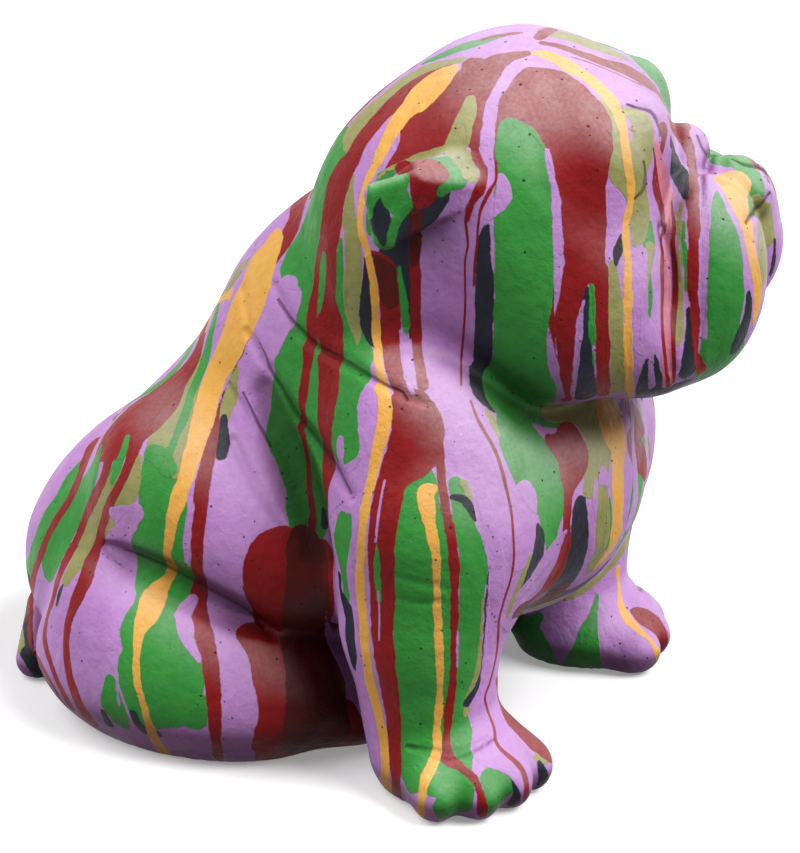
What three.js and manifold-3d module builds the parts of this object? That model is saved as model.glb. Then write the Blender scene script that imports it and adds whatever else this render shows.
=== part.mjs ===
// Sitting bulldog puppy, a floor-standing ornament cast in fibre clay.
// Millimetres, +Z up. The dog faces -Y and its left side is +X. The origin is on the ground,
// under the middle of the outline.
//
// The torso and the head are hollow castings. The legs, ears and tail are solid castings that are
// bonded to them along the creases of the coat, each leg over a steel pin or rod.

import * as THREE from 'three';
import { mergeVertices } from 'three/addons/utils/BufferGeometryUtils.js';
import Module from 'manifold-3d';

const wasm = await Module();
wasm.setup();

// Casting and assembly
const wall = 9;
const bondLine = 0.3;
const padThickness = 2;
const padRadius = 15;

// Closing plate under the torso
const floorThickness = 14;
const handHoleRadius = 50;
const plateRadius = 58;
const plateThickness = 5;
const ventRadius = 6;

// Steel pins and rods
const pinRadius = 5;
const rodRadius = 6;
const blindEnd = 4;
const pinStub = 8;

// Rump and back
const rumpWidth = 240;
const rumpLength = 228;
const rumpHeight = 178;
const rumpBack = 238;
const rumpMiddleHeight = 70;
const backFrontHeight = 207;
const backFrontRadius = 98;
const backRearRadius = 110;

// Chest, shoulders and flanks
const chestWidth = 198;
const chestDepth = 182;
const chestHeight = 180;
const chestFront = 145;
const chestMiddleHeight = 150;
const shoulderThickness = 108;
const shoulderDepth = 120;
const shoulderHeight = 176;
const shoulderSlope = -16;
const flankThickness = 108;
const flankLength = 168;
const flankHeight = 100;
const flankSlope = 24;
const flankForward = 60;
const flankRise = 58;

// Neck
const neckRootRadius = 88;
const neckTopRadius = 84;

// Head, in its own frame: the skull's middle, with the nose towards -Y
const headHeight = 306;
const headForward = 78;
const headTurn = 20;
const skullWidth = 196;
const skullLength = 176;
const skullHeight = 178;
const napeWidth = 172;
const napeLength = 132;
const napeHeight = 172;
const napeBack = 122;
const napeDrop = 28;
const foreheadWidth = 84;
const foreheadLength = 68;
const foreheadHeight = 80;
const foreheadForward = 34;
const foreheadRise = 34;
const cheekSpan = 200;
const cheekThickness = 88;
const cheekLength = 112;
const cheekHeight = 114;
const cheekForward = 18;
const cheekDrop = 38;
const browWidth = 54;
const browLength = 38;
const browSpacing = 92;
const browForward = 50;
const browRise = 46;
const muzzleForward = 86;
const flewWidth = 72;
const flewLength = 80;
const flewHeight = 114;
const flewSpacing = 64;
const flewDrop = 33;
const flewSlope = 6;
const jowlWidth = 68;
const jowlLength = 80;
const jowlDrop = 60;
const foldRadius = 13;
const lipWidth = 44;
const lipLength = 66;
const lipHeight = 80;
const lipDrop = 20;
const chinWidth = 64;
const chinLength = 48;
const chinHeight = 32;
const chinDrop = 78;
const noseReach = 135;
const noseWidth = 48;
const noseLength = 52;
const nostrilWidth = 24;
const nostrilSpacing = 26;
const eyeWidth = 22;
const eyeSpacing = 68;
const eyeRise = 28;
const earStand = 7;
const earLength = 49;
const earDrop = 29;
const earThickness = 12;

// Forelegs
const forelegSpacing = chestWidth;
const forelegForward = 60;
const elbowHeight = 95;
const elbowRadius = 49;
const wristHeight = 22;
const wristRadius = 35;
const pawWidth = 82;
const pawLength = 80;
const pawHeight = 47;
const pawTurn = 30;
const toeWidth = 22;
const toeLength = 34;
const toeHeight = 30;

// Hind legs and tail
const haunchSpan = 310;
const haunchThickness = 134;
const haunchLength = 196;
const haunchDepth = 104;
const haunchHeight = 92;
const thighSlope = 22;
const hindFootSpacing = 132;
const hindFootWidth = 68;
const hindFootHeight = 44;
const hindFootForward = 84;
const tailRadius = 18;
const tailLength = 42;

// Facets of the castings: how often each side of an icosahedron is divided
const torsoDivisions = 9;
const hollowDivisions = 5;
const headDivisions = 12;
const forelegDivisions = 7;
const haunchDivisions = 6;
const earDivisions = 4;
const tailDivisions = 3;
const roundSides = 36;
const pinSides = 12;

const clay = new THREE.MeshStandardMaterial({ color: 0xb98fd0, roughness: 0.6, metalness: 0 });
const greenClay = new THREE.MeshStandardMaterial({ color: 0x3f8f45, roughness: 0.6, metalness: 0 });
const redClay = new THREE.MeshStandardMaterial({ color: 0x7d2a2c, roughness: 0.6, metalness: 0 });
const bareClay = new THREE.MeshStandardMaterial({ color: 0xb9b2a4, roughness: 0.85, metalness: 0 });
const steel = new THREE.MeshStandardMaterial({ color: 0x9a9da0, roughness: 0.35, metalness: 1 });
const felt = new THREE.MeshStandardMaterial({ color: 0x3a3a3a, roughness: 0.95, metalness: 0 });

// Modelled forms are distances to a surface, negative inside, so that they can be melted together
// as clay is.

const radians = THREE.MathUtils.degToRad;

function point(x, y, z) {
  return new THREE.Vector3(x, y, z);
}

// Turn is about the upright axis, tilt about the sideways one, both in degrees
function attitude(turn = 0, tilt = 0) {
  return new THREE.Matrix3().setFromMatrix4(
    new THREE.Matrix4().makeRotationFromEuler(new THREE.Euler(radians(tilt), 0, radians(turn), 'ZXY')),
  );
}

// An ellipsoid lump, given by its full width, length and height
function lump(middle, size, turn = 0, tilt = 0) {
  const back = attitude(turn, tilt).transpose();
  const radii = size.clone().multiplyScalar(0.5);
  const local = new THREE.Vector3();
  return (p) => {
    local.copy(p).sub(middle).applyMatrix3(back).divide(radii);
    const reach = local.length();
    const steepness = local.divide(radii).length();
    return (reach * (reach - 1)) / Math.max(steepness, 1e-6);
  };
}

// A round limb that tapers from one end to the other
function limb(start, end, startRadius, endRadius) {
  const along = end.clone().sub(start);
  const local = new THREE.Vector3();
  return (p) => {
    local.copy(p).sub(start);
    const share = THREE.MathUtils.clamp(local.dot(along) / along.lengthSq(), 0, 1);
    const radius = THREE.MathUtils.lerp(startRadius, endRadius, share);
    return local.addScaledVector(along, -share).length() - radius;
  };
}

// A triangle of clay with round edges
function flap(a, b, c, thickness) {
  const triangle = new THREE.Triangle(a, b, c);
  const nearest = point(0, 0, 0);
  return (p) => triangle.closestPointToPoint(p, nearest).distanceTo(p) - thickness / 2;
}

// Melts forms into the first one, in turn; softness is how wide each crease is filled
function melt(first, ...rest) {
  return (p) => rest.reduce((sum, [form, softness]) => {
    const next = form(p);
    const overlap = Math.max(softness - Math.abs(sum - next), 0) / softness;
    return Math.min(sum, next) - (overlap * overlap * softness) / 4;
  }, first(p));
}

// Moves a form that is modelled in its own frame to its place on the statue
function placed(form, place) {
  const back = place.clone().invert();
  const local = new THREE.Vector3();
  return (p) => form(local.copy(p).applyMatrix4(back));
}

// The torso

const rumpMiddle = point(0, rumpBack - rumpLength / 2, rumpMiddleHeight);
const chestMiddle = point(0, chestDepth / 2 - chestFront, chestMiddleHeight);
const backFront = point(0, chestMiddle.y + 46, backFrontHeight);
const neckTop = point(0, 28 - headForward, headHeight - 36);

const torsoForm = melt(
  lump(rumpMiddle, point(rumpWidth, rumpLength, rumpHeight)),
  [limb(backFront, point(0, rumpMiddle.y - 16, rumpMiddle.z + 2), backFrontRadius, backRearRadius), 24],
  [lump(chestMiddle, point(chestWidth, chestDepth, chestHeight)), 30],
  [limb(point(0, backFront.y + 20, backFront.z + 9), neckTop, neckRootRadius, neckTopRadius), 30],
  ...[-1, 1].map((side) => [shoulder(side), 20]),
  ...[-1, 1].map((side) => [flankRoll(side), 44]),
);

function shoulder(side) {
  const middle = point(side * (chestWidth / 2 - 16), chestMiddle.y - 4, chestMiddle.z + 14);
  return lump(middle, point(shoulderThickness, shoulderDepth, shoulderHeight), 0, shoulderSlope);
}

function flankRoll(side) {
  const middle = point(side * (rumpWidth / 2 - 40), rumpMiddle.y - flankForward, rumpMiddle.z + flankRise);
  return lump(middle, point(flankThickness, flankLength, flankHeight), 0, flankSlope);
}

// The head

const headPlace = new THREE.Matrix4().makeRotationZ(radians(headTurn));
headPlace.setPosition(0, -headForward, headHeight);
const muzzleY = -muzzleForward;
const noseY = -noseReach;

const headForm = placed(melt(
  lump(point(0, 10, 3), point(skullWidth, skullLength, skullHeight)),
  [lump(point(0, napeBack - napeLength / 2, -napeDrop), point(napeWidth, napeLength, napeHeight)), 30],
  [lump(point(0, noseY + 31, 4), point(noseWidth, noseLength, noseWidth)), 8],
  ...[-1, 1].flatMap((side) => faceSide(side)),
  [lump(point(0, noseY + lipLength / 2, -lipDrop), point(lipWidth, lipLength, lipHeight)), 6],
  ...[-1, 1].map((side) => [nostril(side), 3]),
  [lump(point(0, muzzleY + 2, -chinDrop), point(chinWidth, chinLength, chinHeight)), 6],
), headPlace);

// One side of the face
function faceSide(side) {
  const forehead = point(side * (browSpacing / 2 - 2), -foreheadForward, foreheadRise);
  const cheek = point(side * (cheekSpan - cheekThickness) / 2, -cheekForward, -cheekDrop);
  const brow = point(side * browSpacing / 2, -browForward, browRise);
  const jowl = point(forehead.x, muzzleY + 26, -jowlDrop);
  const flew = point(side * flewSpacing / 2, muzzleY, -flewDrop);
  const eye = point(side * eyeSpacing / 2, -browForward - 17, eyeRise);
  return [
    [lump(forehead, point(foreheadWidth, foreheadLength, foreheadHeight)), 16],
    [lump(cheek, point(cheekThickness, cheekLength, cheekHeight)), 24],
    [lump(brow, point(browWidth, browLength, browWidth)), 4],
    [lump(jowl, point(jowlWidth, jowlLength, jowlWidth)), 12],
    [lump(flew, point(flewWidth, flewLength, flewHeight), 0, flewSlope), 8],
    [noseFold(side), 4],
    [lump(eye, point(eyeWidth, eyeWidth, eyeWidth)), 2],
  ];
}

// A roll of skin from over the nose down the side of the muzzle
function noseFold(side) {
  const top = point(0, muzzleY + 6, 30);
  const turn = point(side * 34, muzzleY + 10, 14);
  const end = point(side * 58, muzzleY + 20, -26);
  return melt(
    limb(top, turn, foldRadius, foldRadius - 1),
    [limb(turn, end, foldRadius - 1, foldRadius - 4), 4],
  );
}

function nostril(side) {
  const middle = point(side * nostrilSpacing / 2, noseY + 19, 8);
  return lump(middle, point(nostrilWidth, nostrilWidth, nostrilWidth + 2));
}

// A rose ear: a flap that folds back from its root, stands off the skull and hangs to a tip
function earCorners(side) {
  const x = skullWidth / 2 + earStand;
  const back = 24 + earLength;
  const outer = [[x - 19, 24, 27], [x, 50, 33], [x - 4, back, 25], [x - 2, back - 5, 33 - earDrop]];
  const inner = [[x - 31, 24, 30], [x - 13, 50, 32], [x - 19, back - 13, 24]];
  return [...outer, ...inner].map(([across, y, z]) => point(side * across, y, z));
}

function earForm(side) {
  const [front, fold, back, tip, ...inner] = earCorners(side);
  return placed(melt(
    flap(front, fold, tip, earThickness),
    [flap(fold, back, tip, earThickness), 3],
    [flap(...inner, 1.5 * earThickness), 4],
  ), headPlace);
}

// The legs and the tail

function pawMiddle(side) {
  return point(side * (forelegSpacing / 2 + 2), -forelegForward - 24, 20);
}

function forelegForm(side) {
  const x = side * forelegSpacing / 2;
  const shoulderPoint = point(x - side, -forelegForward - 2, chestMiddle.z);
  const elbow = point(x, -forelegForward, elbowHeight);
  const wrist = point(x - 2 * side, -forelegForward - 6, wristHeight);
  const paw = pawMiddle(side);
  const toes = [[22, -30], [32, -11], [32, 9], [22, 28]].map(([ahead, across]) => {
    const spread = side * pawTurn + side * across * 0.5;
    const place = point(side * across, -ahead, -5);
    place.applyAxisAngle(point(0, 0, 1), radians(side * pawTurn)).add(paw);
    return [lump(place, point(toeWidth, toeLength, toeHeight), spread), 4];
  });
  return melt(
    limb(shoulderPoint, elbow, elbowRadius, elbowRadius * 0.86),
    [limb(elbow, wrist, elbowRadius * 0.86, wristRadius), 10],
    [lump(paw, point(pawWidth, pawLength, pawHeight + 7), side * pawTurn), 12],
    ...toes,
  );
}

function haunchMiddle(side) {
  return point(side * (haunchSpan - haunchThickness) / 2, rumpMiddle.y - 40, haunchHeight - haunchDepth / 2);
}

function hindLegForm(side) {
  const middle = haunchMiddle(side);
  const thigh = middle.clone().add(point(-4 * side, 6, 18));
  const foot = point(side * hindFootSpacing / 2, middle.y - hindFootForward, 20);
  return melt(
    lump(middle, point(haunchThickness, haunchLength, haunchDepth)),
    [lump(thigh, point(haunchThickness - 2, haunchLength - 20, haunchDepth), 0, thighSlope), 24],
    [lump(foot, point(hindFootWidth, hindFootWidth, hindFootHeight)), 14],
  );
}

// The tail lies on the ground, curled round the rump to the right
const tailRoot = point(-36, rumpBack - 20, tailRadius + 6);
const tailTip = point(-36 - tailLength, rumpBack - 36, tailRadius * 0.6);
const tailForm = limb(tailRoot, tailTip, tailRadius, tailRadius * 0.75);

// Solids

function solidOf(geometry) {
  const bare = geometry.clone();
  bare.deleteAttribute('normal');
  bare.deleteAttribute('uv');
  const merged = mergeVertices(bare);
  return new wasm.Manifold(new wasm.Mesh({
    numProp: 3,
    vertProperties: merged.attributes.position.array,
    triVerts: new Uint32Array(merged.index.array),
  }));
}

function geometryOf(solid) {
  const mesh = solid.getMesh();
  const geometry = new THREE.BufferGeometry();
  geometry.setAttribute('position', new THREE.BufferAttribute(mesh.vertProperties, 3));
  geometry.setIndex(new THREE.BufferAttribute(mesh.triVerts, 1));
  geometry.computeVertexNormals();
  return geometry;
}

// Distance from a middle, along a direction, to the outermost place where the form reaches the level
function reachOf(form, middle, direction, level = 0, farthest = 300) {
  const step = 3;
  const probe = new THREE.Vector3();
  const at = (distance) => form(probe.copy(middle).addScaledVector(direction, distance)) - level;
  let outside = farthest;
  while (outside > step && at(outside - step) > 0) outside -= step;
  let inside = outside - step;
  for (let halving = 0; halving < 14; halving += 1) {
    const between = (inside + outside) / 2;
    if (at(between) > 0) outside = between;
    else inside = between;
  }
  return inside;
}

// Pulls an icosahedron's points out from a middle until they lie on the form
function casting(form, middle, spread, divisions, level = 0) {
  const geometry = new THREE.IcosahedronGeometry(1, divisions);
  const places = geometry.attributes.position;
  const direction = new THREE.Vector3();
  for (let i = 0; i < places.count; i += 1) {
    direction.fromBufferAttribute(places, i).multiply(spread).normalize();
    const place = middle.clone().addScaledVector(direction, reachOf(form, middle, direction, level));
    places.setXYZ(i, place.x, place.y, place.z);
  }
  return solidOf(geometry);
}

function cylinderAt(start, end, radius, sides) {
  const axis = end.clone().sub(start);
  const geometry = new THREE.CylinderGeometry(radius, radius, axis.length(), sides);
  const upright = point(0, 1, 0);
  geometry.applyQuaternion(new THREE.Quaternion().setFromUnitVectors(upright, axis.normalize()));
  geometry.translate((start.x + end.x) / 2, (start.y + end.y) / 2, (start.z + end.z) / 2);
  return solidOf(geometry);
}

function block(low, high) {
  const size = high.clone().sub(low);
  const geometry = new THREE.BoxGeometry(size.x, size.y, size.z);
  geometry.translate((low.x + high.x) / 2, (low.y + high.y) / 2, (low.z + high.z) / 2);
  return solidOf(geometry);
}

// The largest of the bodies that a cut leaves
function mainBody(solid) {
  return solid.decompose().sort((a, b) => b.volume() - a.volume())[0];
}

const reachOfBlocks = 600;
const belowPads = block(
  point(-reachOfBlocks, -reachOfBlocks, -reachOfBlocks),
  point(reachOfBlocks, reachOfBlocks, padThickness),
);
const aboveFloor = block(
  point(-reachOfBlocks, -reachOfBlocks, padThickness + floorThickness),
  point(reachOfBlocks, reachOfBlocks, reachOfBlocks),
);

const torsoMiddle = rumpMiddle.clone().lerp(chestMiddle, 0.5).add(point(0, 15, 10));
const torsoSpread = point(1, 1.2, 1.2);
const headMiddle = point(0, -50, 0).applyMatrix4(headPlace);
const evenly = point(1, 1, 1);

const torsoSkin = casting(torsoForm, torsoMiddle, torsoSpread, torsoDivisions);
const torsoSeat = casting(torsoForm, torsoMiddle, torsoSpread, torsoDivisions, bondLine);
const torsoInside = casting(torsoForm, torsoMiddle, torsoSpread, hollowDivisions, -wall);
const torsoHollow = torsoInside.intersect(aboveFloor);
const headSkin = casting(headForm, headMiddle, evenly, headDivisions);
const headSeat = casting(headForm, headMiddle, evenly, headDivisions, bondLine);
const headHollow = casting(headForm, headMiddle, evenly, hollowDivisions, -wall);

// Pins run from inside the torso's wall into the piece outside it and stop short of its surface
function pinEnds(from, direction, outerForm, depthLimit) {
  const seam = reachOf(torsoForm, from, direction);
  const outside = Math.min(reachOf(outerForm, from, direction) - blindEnd, seam + depthLimit);
  return [
    from.clone().addScaledVector(direction, seam - wall - pinStub),
    from.clone().addScaledVector(direction, outside),
  ];
}

function neckPinEnds(side) {
  return pinEnds(neckTop, point(side, 0, 0), headForm, 2 * wall);
}

function haunchPinEnds(side) {
  const middle = haunchMiddle(side);
  return pinEnds(point(0, middle.y, middle.z), point(side, 0, 0), hindLegForm(side), 3 * wall);
}

function forelegRodEnds(side) {
  const x = side * forelegSpacing / 2;
  const bottom = point(x, -forelegForward, padThickness + floorThickness);
  const seam = bottom.clone();
  while (torsoForm(seam) > 0) seam.z += 1;
  return [bottom, point(x, -forelegForward, seam.z + wall + pinStub)];
}

// Tunnels for a pin: its own size and the bond line all round
function tunnel([start, end], radius) {
  const along = end.clone().sub(start).normalize();
  const clear = along.multiplyScalar(bondLine);
  return cylinderAt(start.clone().sub(clear), end.clone().add(clear), radius + bondLine, pinSides);
}

function torsoSolid() {
  const under = rumpMiddle.clone().setZ(-padThickness);
  const rebateTop = rumpMiddle.clone().setZ(padThickness + plateThickness + bondLine);
  const rebate = cylinderAt(under, rebateTop, plateRadius + bondLine, roundSides);
  const handHole = cylinderAt(under, rumpMiddle.clone(), handHoleRadius, roundSides);
  let solid = torsoSkin.subtract(torsoHollow).subtract(belowPads).subtract(rebate).subtract(handHole);
  for (const side of [-1, 1]) {
    solid = solid
      .subtract(tunnel(neckPinEnds(side), pinRadius))
      .subtract(tunnel(haunchPinEnds(side), pinRadius))
      .subtract(tunnel(forelegRodEnds(side), rodRadius));
  }
  return mainBody(solid);
}

function basePlateSolid() {
  const bottom = rumpMiddle.clone().setZ(padThickness);
  const top = rumpMiddle.clone().setZ(padThickness + plateThickness);
  const vent = cylinderAt(bottom.clone().setZ(0), top.clone().setZ(top.z + 1), ventRadius, pinSides);
  return cylinderAt(bottom, top, plateRadius, roundSides).subtract(vent);
}

function headSolid() {
  let solid = headSkin.subtract(headHollow).subtract(torsoSeat);
  for (const side of [-1, 1]) solid = solid.subtract(tunnel(neckPinEnds(side), pinRadius));
  return mainBody(solid);
}

function earSolid(side) {
  const [, fold, , tip] = earCorners(side);
  const middle = fold.clone().lerp(tip, 0.5).applyMatrix4(headPlace);
  const ear = casting(earForm(side), middle, evenly, earDivisions);
  return mainBody(ear.subtract(headSeat).subtract(torsoSeat));
}

function forelegSkin(side, level = 0) {
  return casting(forelegForm(side), pawMiddle(side).setZ(34), point(1, 1, 1.3), forelegDivisions, level);
}

function forelegSolid(side) {
  const solid = forelegSkin(side).subtract(torsoSeat).subtract(belowPads);
  return mainBody(solid.subtract(tunnel(forelegRodEnds(side), rodRadius)));
}

function hindLegSolid(side) {
  const middle = haunchMiddle(side).add(point(0, -24, 0));
  const solid = casting(hindLegForm(side), middle, point(1, 1.5, 1), haunchDivisions)
    .subtract(torsoSeat)
    .subtract(forelegSkin(side, bondLine))
    .subtract(belowPads);
  return mainBody(solid.subtract(tunnel(haunchPinEnds(side), pinRadius)));
}

function tailSolid() {
  const middle = tailRoot.clone().lerp(tailTip, 0.5);
  return mainBody(casting(tailForm, middle, evenly, tailDivisions).subtract(torsoSeat).subtract(belowPads));
}

function padSolid(place) {
  return cylinderAt(place.clone().setZ(0), place.clone().setZ(padThickness), padRadius, roundSides);
}

// The statue

const statue = new THREE.Group();

function add(name, solid, material) {
  const mesh = new THREE.Mesh(geometryOf(solid), material);
  mesh.name = name;
  statue.add(mesh);
}

add('torso', torsoSolid(), clay);
add('base_plate', basePlateSolid(), bareClay);
add('head', headSolid(), redClay);
add('tail', tailSolid(), greenClay);
for (const [name, side] of [['right', -1], ['left', 1]]) {
  const [haunch, paw] = [haunchMiddle(side), pawMiddle(side)];
  add(`${name}_ear`, earSolid(side), greenClay);
  add(`${name}_foreleg`, forelegSolid(side), greenClay);
  add(`${name}_hind_leg`, hindLegSolid(side), clay);
  add(`${name}_neck_pin`, cylinderAt(...neckPinEnds(side), pinRadius, pinSides), steel);
  add(`${name}_haunch_pin`, cylinderAt(...haunchPinEnds(side), pinRadius, pinSides), steel);
  add(`${name}_foreleg_rod`, cylinderAt(...forelegRodEnds(side), rodRadius, pinSides), steel);
  add(`${name}_forepaw_pad`, padSolid(paw), felt);
  add(`${name}_haunch_pad`, padSolid(point(haunch.x + side * 26, haunch.y, 0)), felt);
}

// The origin goes under the middle of the outline
const outline = new THREE.Box3().setFromObject(statue);
const outlineMiddle = outline.getCenter(point(0, 0, 0));
statue.position.set(-outlineMiddle.x, -outlineMiddle.y, -outline.min.z);

export default statue;
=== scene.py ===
# A sitting bulldog puppy cast in fibre clay and finished with poured runs of paint.
# The clay is modelled in millimetres as the sculptor has it: the dog faces -Y, its left is +X and
# the ground is z = 0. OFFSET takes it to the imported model, and Blender gets it in metres.
from itertools import islice
from math import cos, radians, sin

import bmesh
import bpy
import numpy as np
from mathutils import Matrix, Vector


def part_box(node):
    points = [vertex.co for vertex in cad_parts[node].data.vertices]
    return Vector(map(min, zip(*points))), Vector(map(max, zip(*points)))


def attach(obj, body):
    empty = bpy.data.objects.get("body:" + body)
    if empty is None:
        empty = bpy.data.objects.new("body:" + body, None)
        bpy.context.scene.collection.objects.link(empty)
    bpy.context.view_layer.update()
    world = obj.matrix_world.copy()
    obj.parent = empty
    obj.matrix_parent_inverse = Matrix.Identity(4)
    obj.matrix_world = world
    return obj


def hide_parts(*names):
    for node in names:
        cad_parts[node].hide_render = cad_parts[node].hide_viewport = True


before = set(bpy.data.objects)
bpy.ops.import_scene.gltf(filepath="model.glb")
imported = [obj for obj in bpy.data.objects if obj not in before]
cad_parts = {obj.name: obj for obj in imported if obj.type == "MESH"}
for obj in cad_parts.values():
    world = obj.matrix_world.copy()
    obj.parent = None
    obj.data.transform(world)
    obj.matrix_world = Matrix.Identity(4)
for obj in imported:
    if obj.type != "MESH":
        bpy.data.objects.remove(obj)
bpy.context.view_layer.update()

MM = 0.001
PAW_ACROSS, PAW_FRONT = 101.0, -84.0
pad_low, pad_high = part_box("right_forepaw_pad")
OFFSET = np.array([
    (pad_low[0] + pad_high[0]) / 2 / MM + PAW_ACROSS,
    (pad_low[1] + pad_high[1]) / 2 / MM - PAW_FRONT,
    0.0,
])

# Finish of the mesh
CELL = 2.0
COARSE = 4  # cells on each edge of a block of the rough grid
NEAR_BLOCKS = 1.9  # blocks this close to the surface get fine cells
BATCH = 400000  # points worked out at a time
SKIN = 14.0  # depth of clay that the creases are worked into
GROUND_FADE = 6.0  # height in which they fade at the ground
GENTLEST_SLOPE = 0.05

# Sizes of the statue
PAD_THICKNESS = 2.0
PLATE_MIDDLE = (0.0, 124.0)
PLATE_CLEAR = 58.3
PLATE_TOP = 7.3
HEAD_AT = np.array([0.0, -78.0, 306.0], np.float32)
HEAD_TURN = 20
PAW_TURN = 30
PAW_HEIGHT = 20
TOE_DROP = 5
TOE_RADII = (13, 18, 16)
TOES = ((16, -31), (26, -11), (27, 10), (17, 29))  # ahead of the paw's middle, and across it
TOE_SPLAY = 0.5  # degrees for each millimetre across
SLOW_SWELL, QUICK_SWELL = 0.45, 0.3
STATUE_LOW = (-180.0, -262.0, -6.0)
STATUE_HIGH = (180.0, 262.0, 420.0)

# How far runs of paint and creases are worked out. Two places of a run that lie more than RUN_BREAK
# apart have a gap in the clay between them
FAR = 1000.0
REACH = 9.0
RUN_BREAK = 24.0
RUN_GROUP = 12  # pieces of a run that are worked out together
LINE_CLIP = 6.0  # in half widths
LEAST_HALF_WIDTH = 0.3
LEAST_FACING = 0.2
MOST_STRETCH = 2.2  # of a run's width where the clay turns away from the camera

# The photograph's camera, in the sculptor's frame, and how its lines of sight are searched
PHOTO_SIZE = (800, 853)
AZIMUTH, ELEVATION = -64, 19
DISTANCE = 1300.0
FOCAL_PIXELS = 2327.0
TARGET = np.array([-29.0, -13.0, 176.0])
SIGHT_REACH = 330.0  # before and behind the dog's middle
SIGHT_STEPS = 110
SHORTEST_STRIDE, LONGEST_STRIDE = 0.05, 25.0
STRIDE_SHARE = 0.75
CLOSER = 0.02


# Forms: distances to a surface, negative inside

def rot(turn=0, tilt=0):
    """Turn about Z after a tilt about X, in degrees; its columns are the local axes."""
    a, b = radians(turn), radians(tilt)
    about_z = np.array([[cos(a), -sin(a), 0], [sin(a), cos(a), 0], [0, 0, 1]])
    about_x = np.array([[1, 0, 0], [0, cos(b), -sin(b)], [0, sin(b), cos(b)]])
    return (about_z @ about_x).astype(np.float32)


def lump(p, middle, radii, turn=0, tilt=0):
    """An ellipsoid, turned and tilted by degrees."""
    q = (p - np.array(middle, np.float32)) @ rot(turn, tilt)
    radii = np.array(radii, np.float32)
    reach = np.sqrt(((q / radii) ** 2).sum(1))
    steepness = np.sqrt(((q / radii ** 2) ** 2).sum(1))
    return reach * (reach - 1) / np.maximum(steepness, 1e-6)


def limb(p, start, end, start_radius, end_radius):
    """A rod with round ends, thicker at one end than at the other."""
    start, end = np.array(start, np.float32), np.array(end, np.float32)
    along = end - start
    share = np.clip(((p - start) @ along) / (along @ along), 0, 1)
    radius = start_radius + (end_radius - start_radius) * share
    return np.linalg.norm(p - start - share[:, None] * along, axis=1) - radius


def flap(p, a, b, c, half):
    """A triangle of clay with round edges."""
    a, b, c = (np.array(v, np.float32) for v in (a, b, c))
    face = np.cross(b - a, a - c)
    within = np.zeros(len(p))
    edge = np.full(len(p), FAR, np.float32)
    for start, end in ((a, b), (b, c), (c, a)):
        along, q = end - start, p - start
        within += np.sign(q @ np.cross(along, face))
        share = np.clip(q @ along / (along @ along), 0, 1)
        edge = np.minimum(edge, np.linalg.norm(q - share[:, None] * along, axis=1))
    above = np.abs((p - a) @ face) / np.sqrt(face @ face)
    return np.where(within < 2, edge, above) - half


def melt(a, b, softness):
    """Both forms together, with a fillet about as wide as softness between them."""
    overlap = np.maximum(softness - np.abs(a - b), 0) / softness
    return np.minimum(a, b) - overlap * overlap * softness / 4


def melt_all(d, *more):
    """Melts further forms, each with its softness, into d one after another."""
    for form, softness in more:
        d = melt(d, form, softness)
    return d


def inside_box(form, p, low, high):
    """The form's distances for the points in a box that holds it, and FAR elsewhere."""
    near = ((p > np.array(low)) & (p < np.array(high))).all(1)
    d = np.full(len(p), FAR, np.float32)
    if near.any():
        d[near] = form(p[near])
    return d


def torso_form(p):
    rump = lump(p, (0, 124, 70), (120, 114, 89))
    back = limb(p, (0, -8, 207), (0, 108, 72), 98, 105)
    chest = lump(p, (0, -54, 152), (98, 89, 87))
    neck = limb(p, (0, 12, 216), (0, -50, 270), 88, 84)
    d = melt_all(rump, (back, 24), (chest, 30), (neck, 30))
    for side in (-1, 1):
        shoulder = lump(p, (side * 83, -58, 164), (54, 60, 88), tilt=-16)
        flank = lump(p, (side * 80, 64, 128), (54, 84, 50), tilt=24)
        d = melt_all(d, (shoulder, 20), (flank, 44))
    return d


def foreleg_form(p, side):
    shoulder, elbow, wrist = (side * 98, -62, 150), (side * 99, -60, 95), (side * 97, -66, 22)
    middle = np.array([side * PAW_ACROSS, PAW_FRONT, PAW_HEIGHT])
    paw = lump(p, middle, (41, 40, 27), turn=side * PAW_TURN)
    d = melt_all(limb(p, shoulder, elbow, 49, 42), (limb(p, elbow, wrist, 42, 35), 10), (paw, 12))
    for ahead, across in TOES:
        place = middle + rot(side * PAW_TURN) @ np.array([side * across, -ahead, -TOE_DROP])
        toe = lump(p, place, TOE_RADII, turn=side * (PAW_TURN + across * TOE_SPLAY))
        d = melt(d, toe, 6)
    return d


def hind_leg_form(p, side):
    haunch = lump(p, (side * 88, 87, 37), (67, 102, 53))
    thigh = lump(p, (side * 84, 90, 58), (66, 88, 52), tilt=22)
    foot = lump(p, (side * 66, 0, 20), (34, 34, 22))
    return melt_all(haunch, (thigh, 24), (foot, 14))


def tail_form(p):
    root, tip = (-36, 221, 24), (-78, 205, 10.8)
    return limb(p, root, tip, 18, 13.5)


def in_head(p):
    """Places in the head's own frame: its middle at 0 and its nose towards -Y."""
    return (p - HEAD_AT) @ rot(HEAD_TURN)


def from_head(q):
    return q @ rot(HEAD_TURN).T + HEAD_AT


def nose_fold(q, side):
    """The rolled skin from the bridge of the nose down to the flew."""
    bridge, bend, end = (0, -80, 30), (side * 34, -76, 14), (side * 58, -66, -26)
    return melt(limb(q, bridge, bend, 13, 12), limb(q, bend, end, 12, 9), 4)


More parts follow.
